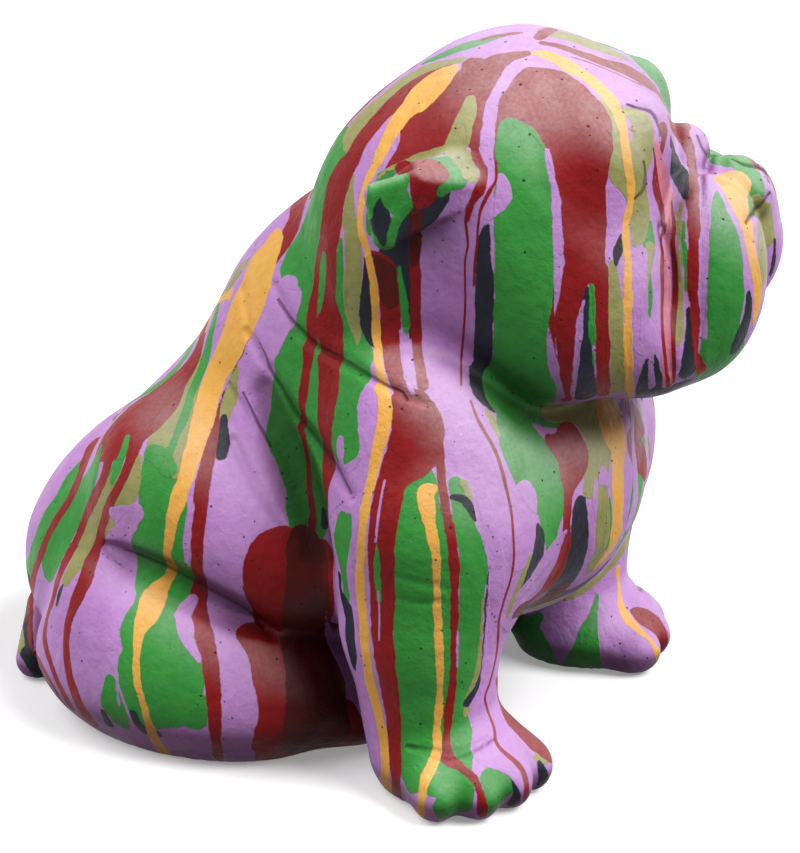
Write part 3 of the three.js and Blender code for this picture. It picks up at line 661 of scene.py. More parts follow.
# Paint: runs in photograph pixels (x, y, half width), poured in coats one over another
COATS = (
    ("green_ground", "green", {
        "far_brow": ((598, 42, 5), (620, 49, 8), (640, 58, 11), (657, 70, 12), (667, 86, 9), (666, 105, 6)),
        "nape": ((343, 130, 3), (340, 142, 8), (334, 158, 14), (324, 178, 16), (316, 200, 17),
            (311, 220, 16), (308, 240, 15), (303, 255, 16), (301, 266, 17), (310, 280, 9), (309, 300, 8),
            (304, 325, 14)),
        "back": ((304, 325, 14), (304, 345, 22), (304, 365, 30), (302, 385, 32), (300, 405, 32),
            (300, 425, 32), (300, 445, 30), (302, 465, 28), (305, 485, 25), (306, 505, 22), (307, 522, 18)),
        "nape_slivers": ((324, 242, 4), (324, 262, 8), (322, 290, 12), (322, 312, 14)),
        "shoulder": ((341, 240, 2), (340, 262, 4), (339, 290, 5), (343, 320, 8), (350, 340, 14),
            (352, 360, 18), (349, 380, 17), (345, 400, 17), (344, 420, 17), (343, 440, 17), (346, 452, 14),
            (347, 462, 8)),
        "elbow": ((346, 510, 4), (344, 525, 8), (342, 545, 9), (344, 560, 7), (346, 580, 4), (346, 602, 3)),
        "leg_outer": ((429, 466, 2), (426, 482, 11), (420, 500, 20), (418, 520, 25), (419, 560, 28),
            (420, 600, 29), (420, 640, 29), (420, 680, 29), (420, 720, 24), (420, 745, 21), (417, 765, 18),
            (412, 780, 9)),
        "leg_inner": ((455, 483, 7), (460, 500, 9), (465, 525, 11), (472, 550, 13), (474, 570, 15),
            (473, 590, 13), (471, 610, 12), (470, 640, 11), (469, 665, 10), (463, 685, 8), (459, 702, 6),
            (461, 720, 8), (463, 738, 11), (466, 752, 8), (466, 764, 6)),
        "chest": ((515, 425, 16), (522, 445, 20), (532, 462, 22), (541, 480, 22), (549, 495, 16),
            (551, 515, 12), (551, 535, 7), (549, 549, 2)),
        "chest_far": ((636, 415, 9), (640, 440, 9), (640, 470, 8), (636, 500, 8), (628, 528, 5),
            (618, 548, 3)),
        "chest_line": ((609, 500, 2.5), (609, 525, 3), (606, 546, 3)),
        "toe_outer": ((433, 788, 8), (446, 785, 13), (460, 790, 15), (452, 806, 14)),
        "toe_middle": ((491, 779, 10), (500, 786, 12), (496, 800, 11)),
        "far_leg": ((598, 594, 1.5), (594, 612, 4), (590, 630, 9), (586, 650, 14), (582, 668, 19)),
        "far_leg_inner": ((540, 616, 4), (526, 632, 12), (524, 650, 18), (524, 668, 20)),
        "flew": ((712, 141, 5), (722, 152, 9), (740, 160, 9), (752, 180, 12), (755, 200, 10), (748, 212, 5)),
        "flew_panel": ((716, 195, 5), (720, 215, 10), (725, 240, 16), (727, 265, 18), (727, 290, 20),
            (725, 315, 19), (721, 340, 18), (716, 362, 16), (724, 358, 14)),
        "muzzle": ((650, 224, 3), (649, 242, 7), (648, 262, 3), (649, 280, 3), (649, 298, 4), (649, 320, 2)),
        "muzzle_line": ((681, 222, 3), (684, 245, 3.5), (687, 270, 3.5), (687, 290, 3)),
        "hip": ((157, 452, 10), (159, 465, 19), (160, 485, 24), (161, 505, 26), (158, 532, 26),
            (158, 560, 30), (165, 580, 25), (160, 595, 22), (152, 612, 22), (148, 632, 29), (158, 655, 38),
            (162, 680, 42)),
        "hip_low": ((128, 660, 10), (128, 695, 10), (138, 718, 12), (165, 704, 28), (192, 705, 16),
            (193, 718, 14)),
        "hip_lobe": ((110, 680, 6), (108, 700, 8), (115, 715, 8), (122, 724, 5)),
        "rump_one": ((78, 466, 4), (70, 480, 7), (60, 500, 8), (48, 520, 9), (40, 540, 9), (33, 560, 8),
            (26, 580, 5), (22, 602, 4)),
        "rump_two": ((98, 453, 5), (94, 470, 8), (89, 480, 10), (80, 500, 12), (68, 520, 13), (59, 540, 14),
            (52, 560, 13)),
        "rump_three": ((126, 440, 3), (122, 452, 5), (115, 470, 6), (110, 482, 5), (104, 496, 4)),
        "back_edge": ((208, 320, 2), (197, 335, 4), (186, 355, 5), (168, 377, 4), (150, 390, 4.5),
            (124, 404, 3)),
        "leg_middle": ((446, 520, 8), (446, 560, 11), (446, 620, 11), (446, 680, 11), (445, 740, 12),
            (452, 762, 14), (462, 768, 9)),
        "jaw": ((512, 404, 12), (530, 408, 14), (548, 416, 10), (560, 420, 8)),
        "skull_edge": ((500, 36, 3), (480, 42, 4.5), (460, 48, 4.5), (440, 56, 3.5), (425, 62, 2)),
    }),
    ("olive_ground", "olive", {
        "skull": ((549, 33, 6), (575, 38, 8), (600, 46, 8), (620, 55, 5)),
        "head_back": ((462, 59, 2.5), (445, 64, 4), (425, 71, 6), (407, 80, 8), (393, 92, 9), (380, 103, 9),
            (366, 115, 10), (357, 125, 10), (351, 138, 6), (348, 152, 2)),
        "nape": ((352, 175, 2), (350, 195, 4), (350, 215, 8), (352, 240, 8), (353, 265, 9), (352, 290, 9),
            (352, 312, 7), (356, 330, 5), (358, 344, 1.5)),
        "eye": ((601, 102, 3), (606, 112, 6), (611, 123, 7), (620, 143, 7), (625, 155, 14), (628, 170, 19),
            (634, 185, 13), (638, 200, 11), (640, 215, 11), (640, 232, 9), (635, 243, 4)),
        "brow": ((626, 110, 5), (640, 118, 11), (643, 130, 12), (641, 150, 13), (638, 168, 12)),
        "muzzle_side": ((650, 250, 6), (648, 262, 5), (640, 340, 1)),
        "cheek": ((613, 262, 4), (615, 300, 8), (616, 340, 9), (617, 365, 10), (617, 390, 10)),
        "muzzle": ((679, 205, 4), (679, 240, 2.5), (680, 270, 3), (680, 300, 4), (680, 330, 4),
            (678, 345, 2)),
        "nose": ((757, 200, 6), (762, 215, 11), (765, 235, 11), (766, 253, 9), (765, 270, 6),
            (763, 282, 2.5)),
        "rump": ((197, 360, 4), (190, 380, 9), (185, 400, 12), (178, 415, 15), (170, 432, 17),
            (163, 442, 14), (178, 452, 8), (178, 462, 4)),
        "back": ((236, 368, 3), (232, 385, 6), (228, 400, 7), (224, 415, 7), (217, 440, 3), (216, 457, 1.5)),
        "back_top": ((247, 262, 3), (236, 275, 5), (226, 290, 4), (220, 298, 2)),
        "rump_three": ((118, 468, 5), (112, 487, 8), (102, 505, 9), (94, 520, 9), (86, 540, 9), (78, 560, 8),
            (68, 577, 6)),
        "rump_four": ((138, 460, 5), (132, 485, 9), (124, 502, 9)),
        "leg": ((463, 483, 4), (470, 497, 3.5)),
        "leg_edge": ((483, 600, 1.5), (481, 640, 1.5), (479, 665, 2), (474, 685, 3.5), (468, 700, 3.5),
            (466, 713, 3)),
        "chest": ((592, 410, 8), (594, 430, 9), (597, 445, 9), (600, 465, 10), (590, 482, 6), (588, 494, 5),
            (603, 492, 5), (603, 520, 5), (601, 548, 4), (595, 566, 3)),
        "chest_edge": ((487, 410, 3), (494, 424, 2.5), (499, 436, 1.5)),
        "belly": ((531, 555, 2), (527, 570, 4), (521, 585, 4), (514, 600, 3), (508, 615, 2)),
        "chest_far": ((648, 440, 2), (651, 470, 2), (648, 500, 3), (640, 525, 4), (632, 542, 3)),
        "foot": ((537, 757, 4), (546, 761, 4)),
        "tail": ((20, 640, 6), (30, 662, 6), (45, 682, 4)),
        "ear": ((470, 166, 8), (466, 174, 7)),
        "chest_field": ((552, 408, 8), (570, 408, 14), (590, 414, 18), (600, 434, 16), (598, 455, 15),
            (597, 475, 13), (600, 490, 9), (602, 510, 8), (603, 530, 7), (600, 550, 5), (590, 568, 3)),
        "belly_rim": ((530, 609, 3), (552, 603, 3), (574, 595, 3), (593, 583, 3), (609, 568, 3),
            (624, 548, 3), (636, 524, 3)),
        "rump_join": ((178, 440, 12), (178, 458, 10), (176, 474, 6)),
        "rump_fill": ((134, 470, 9), (126, 490, 11), (116, 508, 9), (104, 528, 6)),
    }),
    ("black_ground", "black", {
        "nape": ((366, 258, 2), (368, 280, 6), (368, 300, 8), (368, 318, 9), (372, 330, 9), (376, 342, 6)),
        "neck": ((381, 338, 4), (385, 350, 3)),
        "head": ((487, 226, 3), (484, 245, 7), (484, 290, 9.5), (482, 340, 10.5), (482, 385, 12),
            (492, 402, 8)),
        "head_edge": ((553, 285, 1.5), (549, 310, 5), (547, 335, 3)),
        "jaw": ((551, 392, 4), (549, 402, 4)),
        "face": ((586, 289, 2), (586, 302, 5), (586, 320, 6), (586, 345, 7.5), (586, 375, 9),
            (586, 396, 11)),
        "cheek": ((622, 236, 2), (618, 250, 5), (616, 263, 3)),
        "muzzle": ((689, 308, 3), (690, 330, 4), (690, 350, 7), (689, 370, 9)),
        "lip": ((647, 360, 2), (644, 375, 5), (643, 392, 6), (650, 396, 3), (661, 386, 5), (657, 370, 4),
            (654, 355, 2)),
        "flew": ((749, 293, 2), (749, 305, 3.5), (747, 320, 5), (742, 335, 5), (736, 348, 4)),
        "nose_edge": ((775, 245, 1.5), (774, 260, 1.5), (771, 273, 1.5)),
        "ear": ((379, 205, 9), (379, 222, 13), (383, 243, 9)),
        "cheek_back": ((408, 240, 7), (404, 262, 8), (405, 290, 7), (407, 315, 6), (410, 335, 4)),
        "back": ((224, 418, 3), (224, 430, 5), (223, 445, 6.5), (222, 456, 5)),
        "rump_three": ((64, 584, 1), (60, 592, 2), (57, 604, 1.5)),
        "rump_edge": ((29, 578, 2), (26, 600, 3), (27, 630, 3.5), (33, 660, 4), (45, 685, 4), (65, 705, 4)),
        "back_low": ((313, 512, 3), (315, 526, 4)),
        "elbow": ((339, 575, 2), (341, 592, 2), (350, 620, 6), (351, 645, 6), (355, 665, 4)),
        "leg_arc": ((452, 497, 2.5), (462, 498, 4), (470, 507, 4), (475, 520, 3)),
        "leg_edge": ((489, 570, 1), (487, 600, 2), (485, 640, 1.5), (483, 670, 2), (476, 688, 3),
            (467, 703, 4)),
        "chest": ((580, 503, 7), (580, 520, 9), (579, 540, 9), (574, 560, 10), (564, 580, 9), (552, 597, 6)),
        "chest_side": ((538, 525, 2), (540, 540, 5), (537, 560, 6.5), (530, 580, 5), (522, 594, 3)),
        "hip": ((133, 714, 4), (140, 728, 5), (158, 735, 3)),
        "hip_lobe": ((104, 713, 3), (109, 724, 3)),
        "toe": ((514, 780, 3.5), (518, 790, 5), (514, 804, 5)),
        "foot": ((540, 763, 3), (544, 775, 5), (543, 788, 4)),
        "tail": ((25, 652, 6), (40, 677, 6), (50, 692, 4)),
        # painted shadow: black under the ear flap
        "ear_cave": ((432, 196, 14), (425, 208, 14), (412, 224, 13), (402, 245, 12), (398, 258, 12),
            (384, 250, 10)),
        # painted shadow: a black line under the jaw
        "jaw_edge": ((636, 399, 4), (656, 394, 4), (676, 387, 4), (690, 382, 3)),
        # painted shade: a black band along the underside of the belly
        "belly_edge": ((554, 598, 4), (576, 589, 4), (594, 576, 4), (608, 562, 3)),
    }),
    ("red_ground", "red", {
        "far_brow": ((542, 43, 2), (560, 46, 3), (580, 53, 4), (610, 64, 6), (640, 77, 7), (656, 90, 6),
            (662, 101, 3)),
        "skull_tick": ((538, 38, 3), (545, 33, 4), (553, 29, 2.5)),
        "crown": ((470, 62, 7), (478, 72, 18), (462, 92, 22), (440, 112, 24), (425, 130, 25), (412, 146, 14),
            (398, 158, 6), (390, 168, 4), (384, 177, 3)),
        "crown_front": ((527, 53, 3.5), (505, 58, 7), (490, 72, 16), (482, 100, 14), (476, 125, 10),
            (474, 142, 7)),
        "temple": ((505, 105, 7), (525, 92, 20), (548, 88, 24), (570, 105, 26), (582, 125, 30),
            (580, 150, 32), (583, 190, 24), (585, 235, 22), (585, 262, 21)),
        "temple_left": ((574, 270, 12), (572, 290, 12), (568, 315, 12), (566, 335, 11), (566, 360, 9),
            (567, 385, 8), (567, 400, 6)),
        "temple_right": ((600, 270, 8), (601, 295, 8), (602, 330, 7.5), (603, 360, 7), (604, 395, 5.5)),
        "head_edge": ((412, 67, 4), (400, 73, 7), (388, 81, 9), (375, 91, 9), (366, 99, 9), (354, 109, 8.5),
            (343, 120, 8), (334, 132, 7.5), (326, 146, 7), (318, 162, 6.5), (310, 180, 6.5), (302, 200, 7),
            (298, 212, 6), (293, 224, 7), (288, 236, 7.5), (283, 247, 5), (277, 260, 2)),
        "head_back": ((450, 66, 2), (425, 78, 5), (404, 95, 10), (389, 110, 11), (376, 125, 11.5),
            (362, 142, 10), (352, 158, 9), (340, 175, 11), (334, 195, 11), (331, 215, 11), (329, 234, 11),
            (331, 248, 6), (331, 270, 5), (330, 295, 5.5), (330, 312, 9), (331, 325, 13), (330, 345, 13),
            (329, 365, 11), (328, 385, 10.5), (326, 410, 9), (324, 435, 7.5), (323, 455, 6.5), (325, 472, 6),
            (323, 500, 4.5), (323, 540, 4.5)),
        "back_line": ((322, 238, 2.5), (318, 262, 3), (316, 290, 3.5), (311, 320, 5), (309, 345, 5.5),
            (306, 370, 5), (303, 395, 4.5), (300, 420, 3.5), (299, 445, 3.5), (299, 470, 3), (302, 490, 3),
            (307, 512, 3.5), (309, 530, 4)),
        "cheek": ((370, 255, 5), (382, 264, 10), (388, 280, 11), (389, 300, 10.5), (390, 330, 10),
            (391, 350, 9), (395, 375, 8), (400, 392, 8)),
        "cheek_line": ((416, 212, 5), (415, 250, 5), (416, 290, 5), (416, 330, 5), (419, 360, 5.5),
            (423, 385, 6)),
        "shoulder": ((400, 392, 8), (410, 405, 19), (416, 420, 25), (418, 433, 27), (413, 450, 27),
            (404, 462, 22), (392, 482, 15), (386, 505, 15), (383, 525, 14.5), (381, 545, 14), (381, 580, 13),
            (382, 620, 12), (383, 650, 10.5), (387, 680, 9), (391, 705, 8), (394, 730, 7), (395, 760, 6),
            (396, 795, 3)),
        "shoulder_front": ((437, 440, 7), (440, 462, 5), (442, 485, 4.5), (446, 510, 5), (451, 535, 5),
            (454, 560, 5), (455, 600, 4), (454, 640, 3.5), (453, 680, 3.5), (448, 715, 4), (447, 745, 4),
            (449, 758, 7), (462, 768, 4), (474, 778, 4), (480, 793, 4), (483, 815, 5)),
        "chest": ((550, 441, 6), (566, 450, 15), (573, 455, 17), (571, 470, 14), (569, 484, 8),
            (568, 500, 4.5), (567, 520, 4), (566, 545, 4.5), (559, 567, 5), (546, 587, 5), (530, 602, 4)),
        "chest_lobe": ((568, 436, 12), (573, 447, 14)),
        "chest_far": ((632, 410, 7), (640, 420, 7), (632, 438, 3), (636, 446, 9), (644, 462, 7),
            (647, 480, 3)),
        "muzzle_top": ((668, 130, 6), (676, 126, 9), (682, 135, 7), (690, 150, 5), (694, 168, 5),
            (692, 190, 7), (694, 215, 6), (694, 250, 6), (693, 285, 6), (696, 320, 5), (697, 350, 4),
            (702, 372, 5)),
        "muzzle_left": ((665, 128, 4), (663, 145, 3), (657, 165, 3), (657, 185, 5), (661, 205, 3),
            (664, 225, 2)),
        "nose": ((732, 149, 2), (748, 156, 4), (760, 165, 4), (770, 178, 1.5), (776, 192, 1.5)),
        "rump": ((237, 264, 2), (225, 281, 5), (215, 300, 4.5), (206, 320, 4.5), (201, 340, 5),
            (193, 360, 7), (182, 375, 9), (168, 390, 12), (150, 408, 19), (130, 422, 21), (113, 434, 14),
            (101, 445, 9)),
        "rump_one": ((92, 445, 5), (86, 458, 5), (79, 478, 4.5), (69, 500, 4), (56, 520, 4), (46, 540, 3.5),
            (39, 560, 3.5), (33, 578, 3), (30, 605, 2.5), (31, 640, 2.5), (39, 662, 2.5), (49, 680, 2.5),
            (63, 703, 2.5)),
        "rump_two": ((110, 452, 6), (103, 478, 4.5), (93, 500, 4), (84, 520, 4), (76, 540, 4), (66, 560, 4),
            (58, 580, 4), (53, 600, 3), (47, 620, 3), (45, 640, 3), (50, 662, 3), (58, 682, 3),
            (70, 706, 3)),
        "rump_three": ((135, 445, 8), (130, 460, 6), (122, 480, 5), (112, 500, 4.5), (104, 520, 4.5),
            (99, 540, 4.5), (92, 560, 6.5), (85, 580, 7), (76, 600, 6.5), (69, 620, 4.5), (66, 640, 4),
            (67, 662, 4.5), (71, 682, 5), (79, 703, 5), (92, 722, 4)),
        "loin": ((252, 322, 1), (247, 342, 1), (238, 362, 0.8), (224, 392, 1), (218, 410, 2), (215, 428, 4),
            (211, 445, 5.5), (207, 462, 6.5), (203, 482, 7.5), (200, 502, 8), (197, 540, 7), (196, 575, 6.5),
            (198, 605, 8), (204, 635, 9), (210, 660, 8.5), (213, 690, 7.5), (215, 720, 6.5), (218, 758, 5)),
        "thigh": ((285, 550, 22), (282, 565, 37), (282, 590, 39), (285, 612, 34), (300, 640, 30),
            (310, 680, 34), (312, 720, 38), (310, 745, 40)),
        "thigh_front": ((315, 560, 22), (316, 590, 22), (300, 630, 26), (300, 670, 34), (300, 715, 38),
            (292, 740, 32)),
        "thigh_low": ((252, 635, 14), (264, 650, 17), (275, 680, 21), (282, 715, 22), (280, 745, 22)),
        "foot": ((497, 680, 2.5), (502, 700, 5), (510, 716, 8), (524, 730, 9), (540, 740, 9), (549, 752, 5)),
        "far_foot": ((634, 612, 3), (642, 616, 7), (654, 626, 9), (662, 638, 8), (662, 650, 5)),
        "ear": ((404, 169, 5), (420, 172, 10), (424, 185, 11), (426, 198, 8)),
        "temple_top": ((530, 75, 11), (516, 94, 14), (530, 110, 14), (541, 125, 10), (549, 145, 7)),
        "temple_edge": ((508, 105, 10), (503, 130, 8), (499, 158, 5)),
        "temple_fill": ((508, 108, 8), (520, 112, 9), (534, 120, 9), (544, 140, 7)),
        "temple_band": ((550, 305, 4), (551, 330, 5), (552, 360, 4)),
        "rump_join": ((112, 440, 10), (122, 448, 8), (104, 446, 8)),
    }),
    # Dark maroon: paint on the thigh that also paints its shade, and painted shadow under the ear and on the
    # neck
    ("maroon_over", "maroon", {
        "thigh": ((302, 534, 10), (306, 550, 18), (308, 575, 22), (307, 600, 23), (306, 625, 24),
            (312, 650, 26), (318, 680, 29), (318, 710, 30), (316, 735, 28)),
        "ear_band": ((417, 208, 5), (415, 235, 5.5), (414, 262, 5)),
        "neck_shade": ((369, 257, 4), (380, 265, 8), (388, 278, 11), (389, 300, 9)),
        # painted shade along the underside of the belly
        "belly_edge": ((518, 612, 4), (534, 604, 6), (550, 597, 6), (562, 589, 5)),
    }),
    ("lilac_over", "lilac", {
        "temple_streak": ((533, 61, 3), (518, 65, 6), (508, 75, 6), (499, 90, 5.5), (491, 105, 5.5),
            (487, 120, 5), (485, 140, 4.5), (486, 152, 4.5), (490, 165, 4), (491, 178, 4), (487, 192, 5),
            (481, 208, 6), (472, 235, 5), (470, 300, 5), (467, 360, 6)),
        "head_back": ((397, 115, 3), (390, 123, 5), (377, 142, 8), (367, 160, 8), (360, 180, 6.5),
            (357, 200, 3.5), (357, 218, 1.5)),
        "crown_left": ((397, 132, 2), (396, 141, 4), (394, 150, 2.5)),
        "shoulder": ((368, 388, 4), (366, 405, 9), (367, 430, 9), (366, 448, 7), (364, 465, 9),
            (352, 478, 12), (346, 490, 13), (355, 510, 5), (355, 525, 3.5), (353, 550, 3.5), (350, 575, 3),
            (353, 605, 2), (358, 650, 2), (361, 685, 3), (371, 715, 3), (380, 750, 3), (381, 780, 2)),
        "shoulder_tip": ((340, 441, 3), (340, 455, 3.5), (338, 475, 2.5)),
        "elbow": ((336, 495, 4), (334, 515, 3), (332, 535, 1.5)),
        "cheek_drop": ((404, 333, 5), (406, 352, 4), (409, 375, 3.5), (412, 393, 3.5)),
        "chest": ((514, 492, 3), (525, 500, 13), (525, 520, 13), (523, 538, 11), (520, 560, 9)),
        "chest_bulge": ((603, 470, 3), (604, 478, 6), (609, 483, 3)),
        "chest_line": ((596, 480, 2), (595, 500, 2.5), (593, 525, 3), (591, 548, 2.5)),
        "chest_side": ((566, 532, 2), (556, 548, 5), (545, 562, 5), (533, 580, 4), (520, 596, 3.5)),
        "chest_far": ((632, 402, 5), (633, 425, 1.5), (636, 480, 3), (634, 505, 4), (628, 525, 4)),
        "hip_lobe": ((113, 514, 6), (125, 517, 11), (136, 513, 8), (125, 530, 9), (118, 545, 12),
            (112, 558, 12)),
        "hip_right": ((193, 500, 2), (186, 540, 4), (187, 565, 3)),
        "heel": ((192, 600, 6), (184, 612, 8), (182, 628, 6), (190, 645, 5), (199, 660, 3)),
        "thigh_line": ((326, 612, 1), (329, 635, 4), (340, 655, 5), (354, 680, 7), (361, 700, 4)),
        "face_line": ((584, 300, 1), (580, 320, 3), (578, 345, 3.5), (575, 372, 3), (572, 398, 2)),
        "temple_low": ((548, 330, 3), (551, 355, 5), (555, 380, 5), (561, 398, 3)),
        "eye_low": ((613, 190, 5), (617, 202, 8), (616, 217, 7), (612, 232, 3)),
        "muzzle_side": ((640, 255, 8), (641, 290, 8), (641, 320, 9), (645, 340, 14), (651, 355, 3),
            (652, 385, 3)),
        "muzzle_edge": ((659, 180, 1), (671, 150, 3), (672, 180, 2), (677, 190, 4), (672, 225, 2)),
        "flew_line": ((710, 168, 6), (710, 185, 6), (706, 210, 4), (705, 250, 3), (704, 300, 2.5),
            (705, 340, 1.5)),
        "leg": ((478, 480, 4), (487, 510, 8), (492, 540, 8), (497, 570, 8), (495, 610, 8), (492, 650, 7),
            (487, 685, 7), (482, 705, 10), (485, 730, 11), (487, 750, 13), (505, 760, 10), (525, 780, 8),
            (532, 800, 5)),
        "back_lobe": ((286, 290, 12), (284, 305, 15), (276, 325, 14), (268, 345, 12), (262, 360, 8)),
        "chest_rim": ((651, 400, 3), (652, 430, 3), (650, 465, 2), (643, 490, 2), (636, 515, 2)),
    }),
    ("black_over", "black", {
        "muzzle_drop": ((671, 141, 3), (674, 150, 6), (676, 162, 8.5), (679, 175, 9), (683, 187, 6.5),
            (686, 198, 2.5)),
        "flew_right": ((775, 240, 1.5), (774, 262, 2), (771, 275, 1.5)),
    }),
    ("green_over", "green", {
        "cheek": ((510, 128, 12), (518, 145, 23), (523, 165, 27), (525, 190, 30), (524, 215, 30),
            (524, 250, 30), (524, 290, 29), (520, 330, 27), (519, 360, 26), (520, 385, 27), (523, 402, 25)),
        "ear": ((434, 160, 5), (446, 166, 12), (452, 178, 11), (441, 193, 4)),
        "ear_rim": ((392, 174, 5), (383, 178, 7), (376, 188, 8), (371, 200, 5), (368, 215, 3.5),
            (370, 232, 3), (381, 252, 2)),
        "knee": ((377, 545, 2), (377, 575, 3), (378, 600, 2)),
        "face_sliver": ((592, 286, 1.5), (592, 310, 3), (593, 345, 2.5), (594, 366, 1)),
        "cheek_sliver": ((398, 266, 1.5), (401, 285, 3), (404, 305, 3.5), (406, 325, 3.5), (406, 337, 1)),
        "ear_face": ((397, 180, 11), (394, 190, 14), (398, 202, 13), (404, 207, 8), (396, 222, 5.5),
            (391, 240, 4), (388, 254, 2)),
        "hip_top": ((152, 453, 9), (160, 457, 11), (170, 470, 9)),
        "back_line": ((219, 300, 3), (212, 330, 4), (205, 360, 4.5), (193, 390, 4), (183, 420, 4),
            (175, 440, 3.5), (170, 455, 2.5)),
        "rump_tips": ((99, 451, 3.5), (95, 465, 6), (90, 480, 8)),
        "rump_tips_two": ((127, 438, 2.5), (123, 452, 4), (117, 468, 4.5), (112, 480, 3)),
        "ear_inner": ((396, 198, 5), (397, 210, 4), (394, 222, 3)),
    }),
    ("lilac_last", "lilac", {
        "ear_front": ((500, 178, 5), (504, 190, 7), (502, 200, 8), (494, 210, 6), (487, 217, 4)),
        "temple_edge": ((547, 150, 2.5), (554, 190, 3.5), (557, 230, 4.5), (558, 265, 4.5), (557, 300, 2.5)),
    }),
    ("olive_over", "olive", {
        "ear_top": ((470, 99, 5), (468, 112, 8), (462, 127, 10), (458, 140, 12), (455, 148, 10),
            (466, 162, 10), (471, 174, 9)),
        "ear_left": ((446, 151, 5), (430, 155, 4.5), (415, 159, 3.2), (400, 165, 2.6), (385, 172, 2),
            (376, 180, 1)),
    }),
    ("red_over", "red", {
        "ear_side": ((482, 103, 3), (479, 120, 3), (474, 142, 3.5), (478, 160, 4), (484, 173, 4.5),
            (481, 186, 5), (475, 197, 4.5), (469, 210, 3), (467, 222, 2)),
        "eye_tick": ((629, 128, 2), (634, 131, 1.5), (640, 134, 0.6)),
        "skull_line": ((478, 41, 1), (495, 37, 2), (510, 34, 2), (521, 33, 1)),
        "ear": ((400, 168, 6), (410, 168, 9), (428, 169, 10), (424, 184, 14), (425, 198, 11)),
    }),
    ("rose_over", "rose", {
        "muzzle": ((656, 140, 2), (658, 155, 4), (661, 172, 6), (665, 192, 6), (669, 212, 4.5),
            (669, 228, 3.5), (667, 245, 4), (667, 265, 5), (668, 290, 6), (668, 320, 6), (669, 350, 7),
            (669, 384, 6)),
    }),
    ("orange_last", "orange", {
        "brow": ((533, 53, 2), (545, 54, 5), (560, 60, 6), (575, 70, 6), (590, 79, 5), (602, 90, 6),
            (612, 101, 6), (618, 110, 6), (622, 122, 5.5), (625, 138, 5), (627, 155, 5), (629, 172, 4.5),
            (631, 190, 3.5), (630, 205, 3.5), (626, 222, 3.5), (626, 237, 3.5), (628, 255, 4),
            (628, 290, 4.5), (628, 340, 4.5), (629, 380, 4.5), (630, 397, 4)),
        "head_back": ((449, 71, 6), (435, 82, 12), (424, 93, 14), (413, 104, 10), (402, 115, 8.5),
            (393, 129, 7.5), (385, 145, 6.5), (378, 160, 5), (371, 173, 4), (365, 186, 3.4), (362, 200, 3),
            (360, 218, 3), (362, 235, 3.2), (367, 250, 3.6), (370, 265, 3.8), (373, 285, 4), (375, 310, 4),
            (376, 330, 4), (378, 350, 4.5), (380, 375, 5), (383, 392, 6.5), (385, 410, 7), (382, 432, 7),
            (377, 455, 6), (372, 478, 5), (367, 500, 4.8), (363, 525, 4.5), (361, 550, 4), (360, 575, 4),
            (361, 600, 4.4), (364, 635, 4.3), (368, 670, 4.6), (373, 695, 4.6), (380, 722, 4.3),
            (384, 745, 4.2), (385, 770, 4), (386, 792, 4)),
        "leg": ((433, 489, 5), (426, 493, 9), (427, 503, 9), (429, 520, 6.5), (433, 540, 5), (436, 560, 4),
            (437, 590, 4), (438, 630, 4), (440, 665, 3.5), (439, 700, 3.5), (437, 730, 4), (436, 752, 4.5),
            (430, 768, 5), (424, 782, 4.5), (421, 800, 3.5), (420, 816, 3)),
        "chest": ((606, 408, 11), (611, 418, 14), (615, 432, 13), (618, 446, 9), (618, 465, 7),
            (618, 490, 6.5), (618, 515, 5.5), (615, 538, 5), (608, 552, 3.5), (596, 567, 2)),
        "flew": ((731, 179, 8), (735, 190, 10), (741, 206, 9.5), (747, 223, 7), (750, 240, 5.5),
            (754, 260, 5.5), (758, 280, 5), (759, 295, 4.5), (757, 310, 3.5), (754, 322, 2)),
        "back": ((274, 236, 5), (268, 252, 10), (260, 265, 14), (256, 280, 15), (250, 295, 17),
            (243, 310, 17.5), (237, 325, 15), (232, 340, 14), (224, 358, 13), (216, 375, 11.5),
            (209, 395, 11.5), (203, 420, 11.5), (197, 440, 10), (191, 460, 9), (185, 480, 8.5),
            (178, 500, 8.5), (172, 520, 6.5), (168, 540, 5), (166, 560, 4.5), (167, 576, 5),
            (157, 592, 10.5), (153, 601, 13), (148, 613, 12), (140, 630, 6.5), (137, 650, 4), (137, 680, 4),
            (143, 705, 3.5), (150, 728, 4.5), (158, 745, 4.5), (170, 757, 3)),
        "back_hook": ((230, 294, 3), (220, 299, 1.8), (213, 308, 1.5), (209, 320, 1.2), (206, 330, 1.6)),
        "far_leg": ((618, 568, 2), (620, 595, 2), (622, 608, 4), (628, 619, 5), (640, 631, 3), (650, 640, 3),
            (657, 652, 3), (661, 664, 2)),
    }),
)

# Lines too thin for a coat: they are drawn by their sideways distance, just before the orange
THIN_RED = {
    "cheek": ((466, 225, 1.4), (468, 245, 1.2), (465, 262, 1), (465, 300, 1.1), (463, 340, 1.1),
        (461, 360, 1.2), (461, 382, 1.2)),
    "leg": ((472, 405, 1.2), (477, 418, 1.6), (484, 431, 1.8), (495, 450, 1.8), (502, 470, 2),
        (507, 490, 1.5), (511, 510, 1.3), (513, 532, 1.2), (514, 560, 1.2), (511, 580, 1.1), (504, 602, 1.1),
        (499, 622, 1.1), (498, 642, 1.1), (495, 662, 1.1), (490, 682, 1.1), (485, 697, 1.1), (488, 711, 1.1),
        (494, 728, 1.2), (496, 742, 1.6), (504, 752, 2), (515, 761, 2.4), (523, 771, 2.6), (527, 785, 3),
        (527, 802, 3)),
    "brow": ((576, 58, 0.8), (592, 63, 0.8), (610, 70, 0.8), (628, 78, 0.9), (640, 84, 0.8)),
    "muzzle_one": ((664, 228, 1.5), (663, 245, 2.2), (662, 265, 2.4), (663, 290, 2.4), (664, 320, 2.2),
        (666, 350, 2), (668, 385, 2)),
}
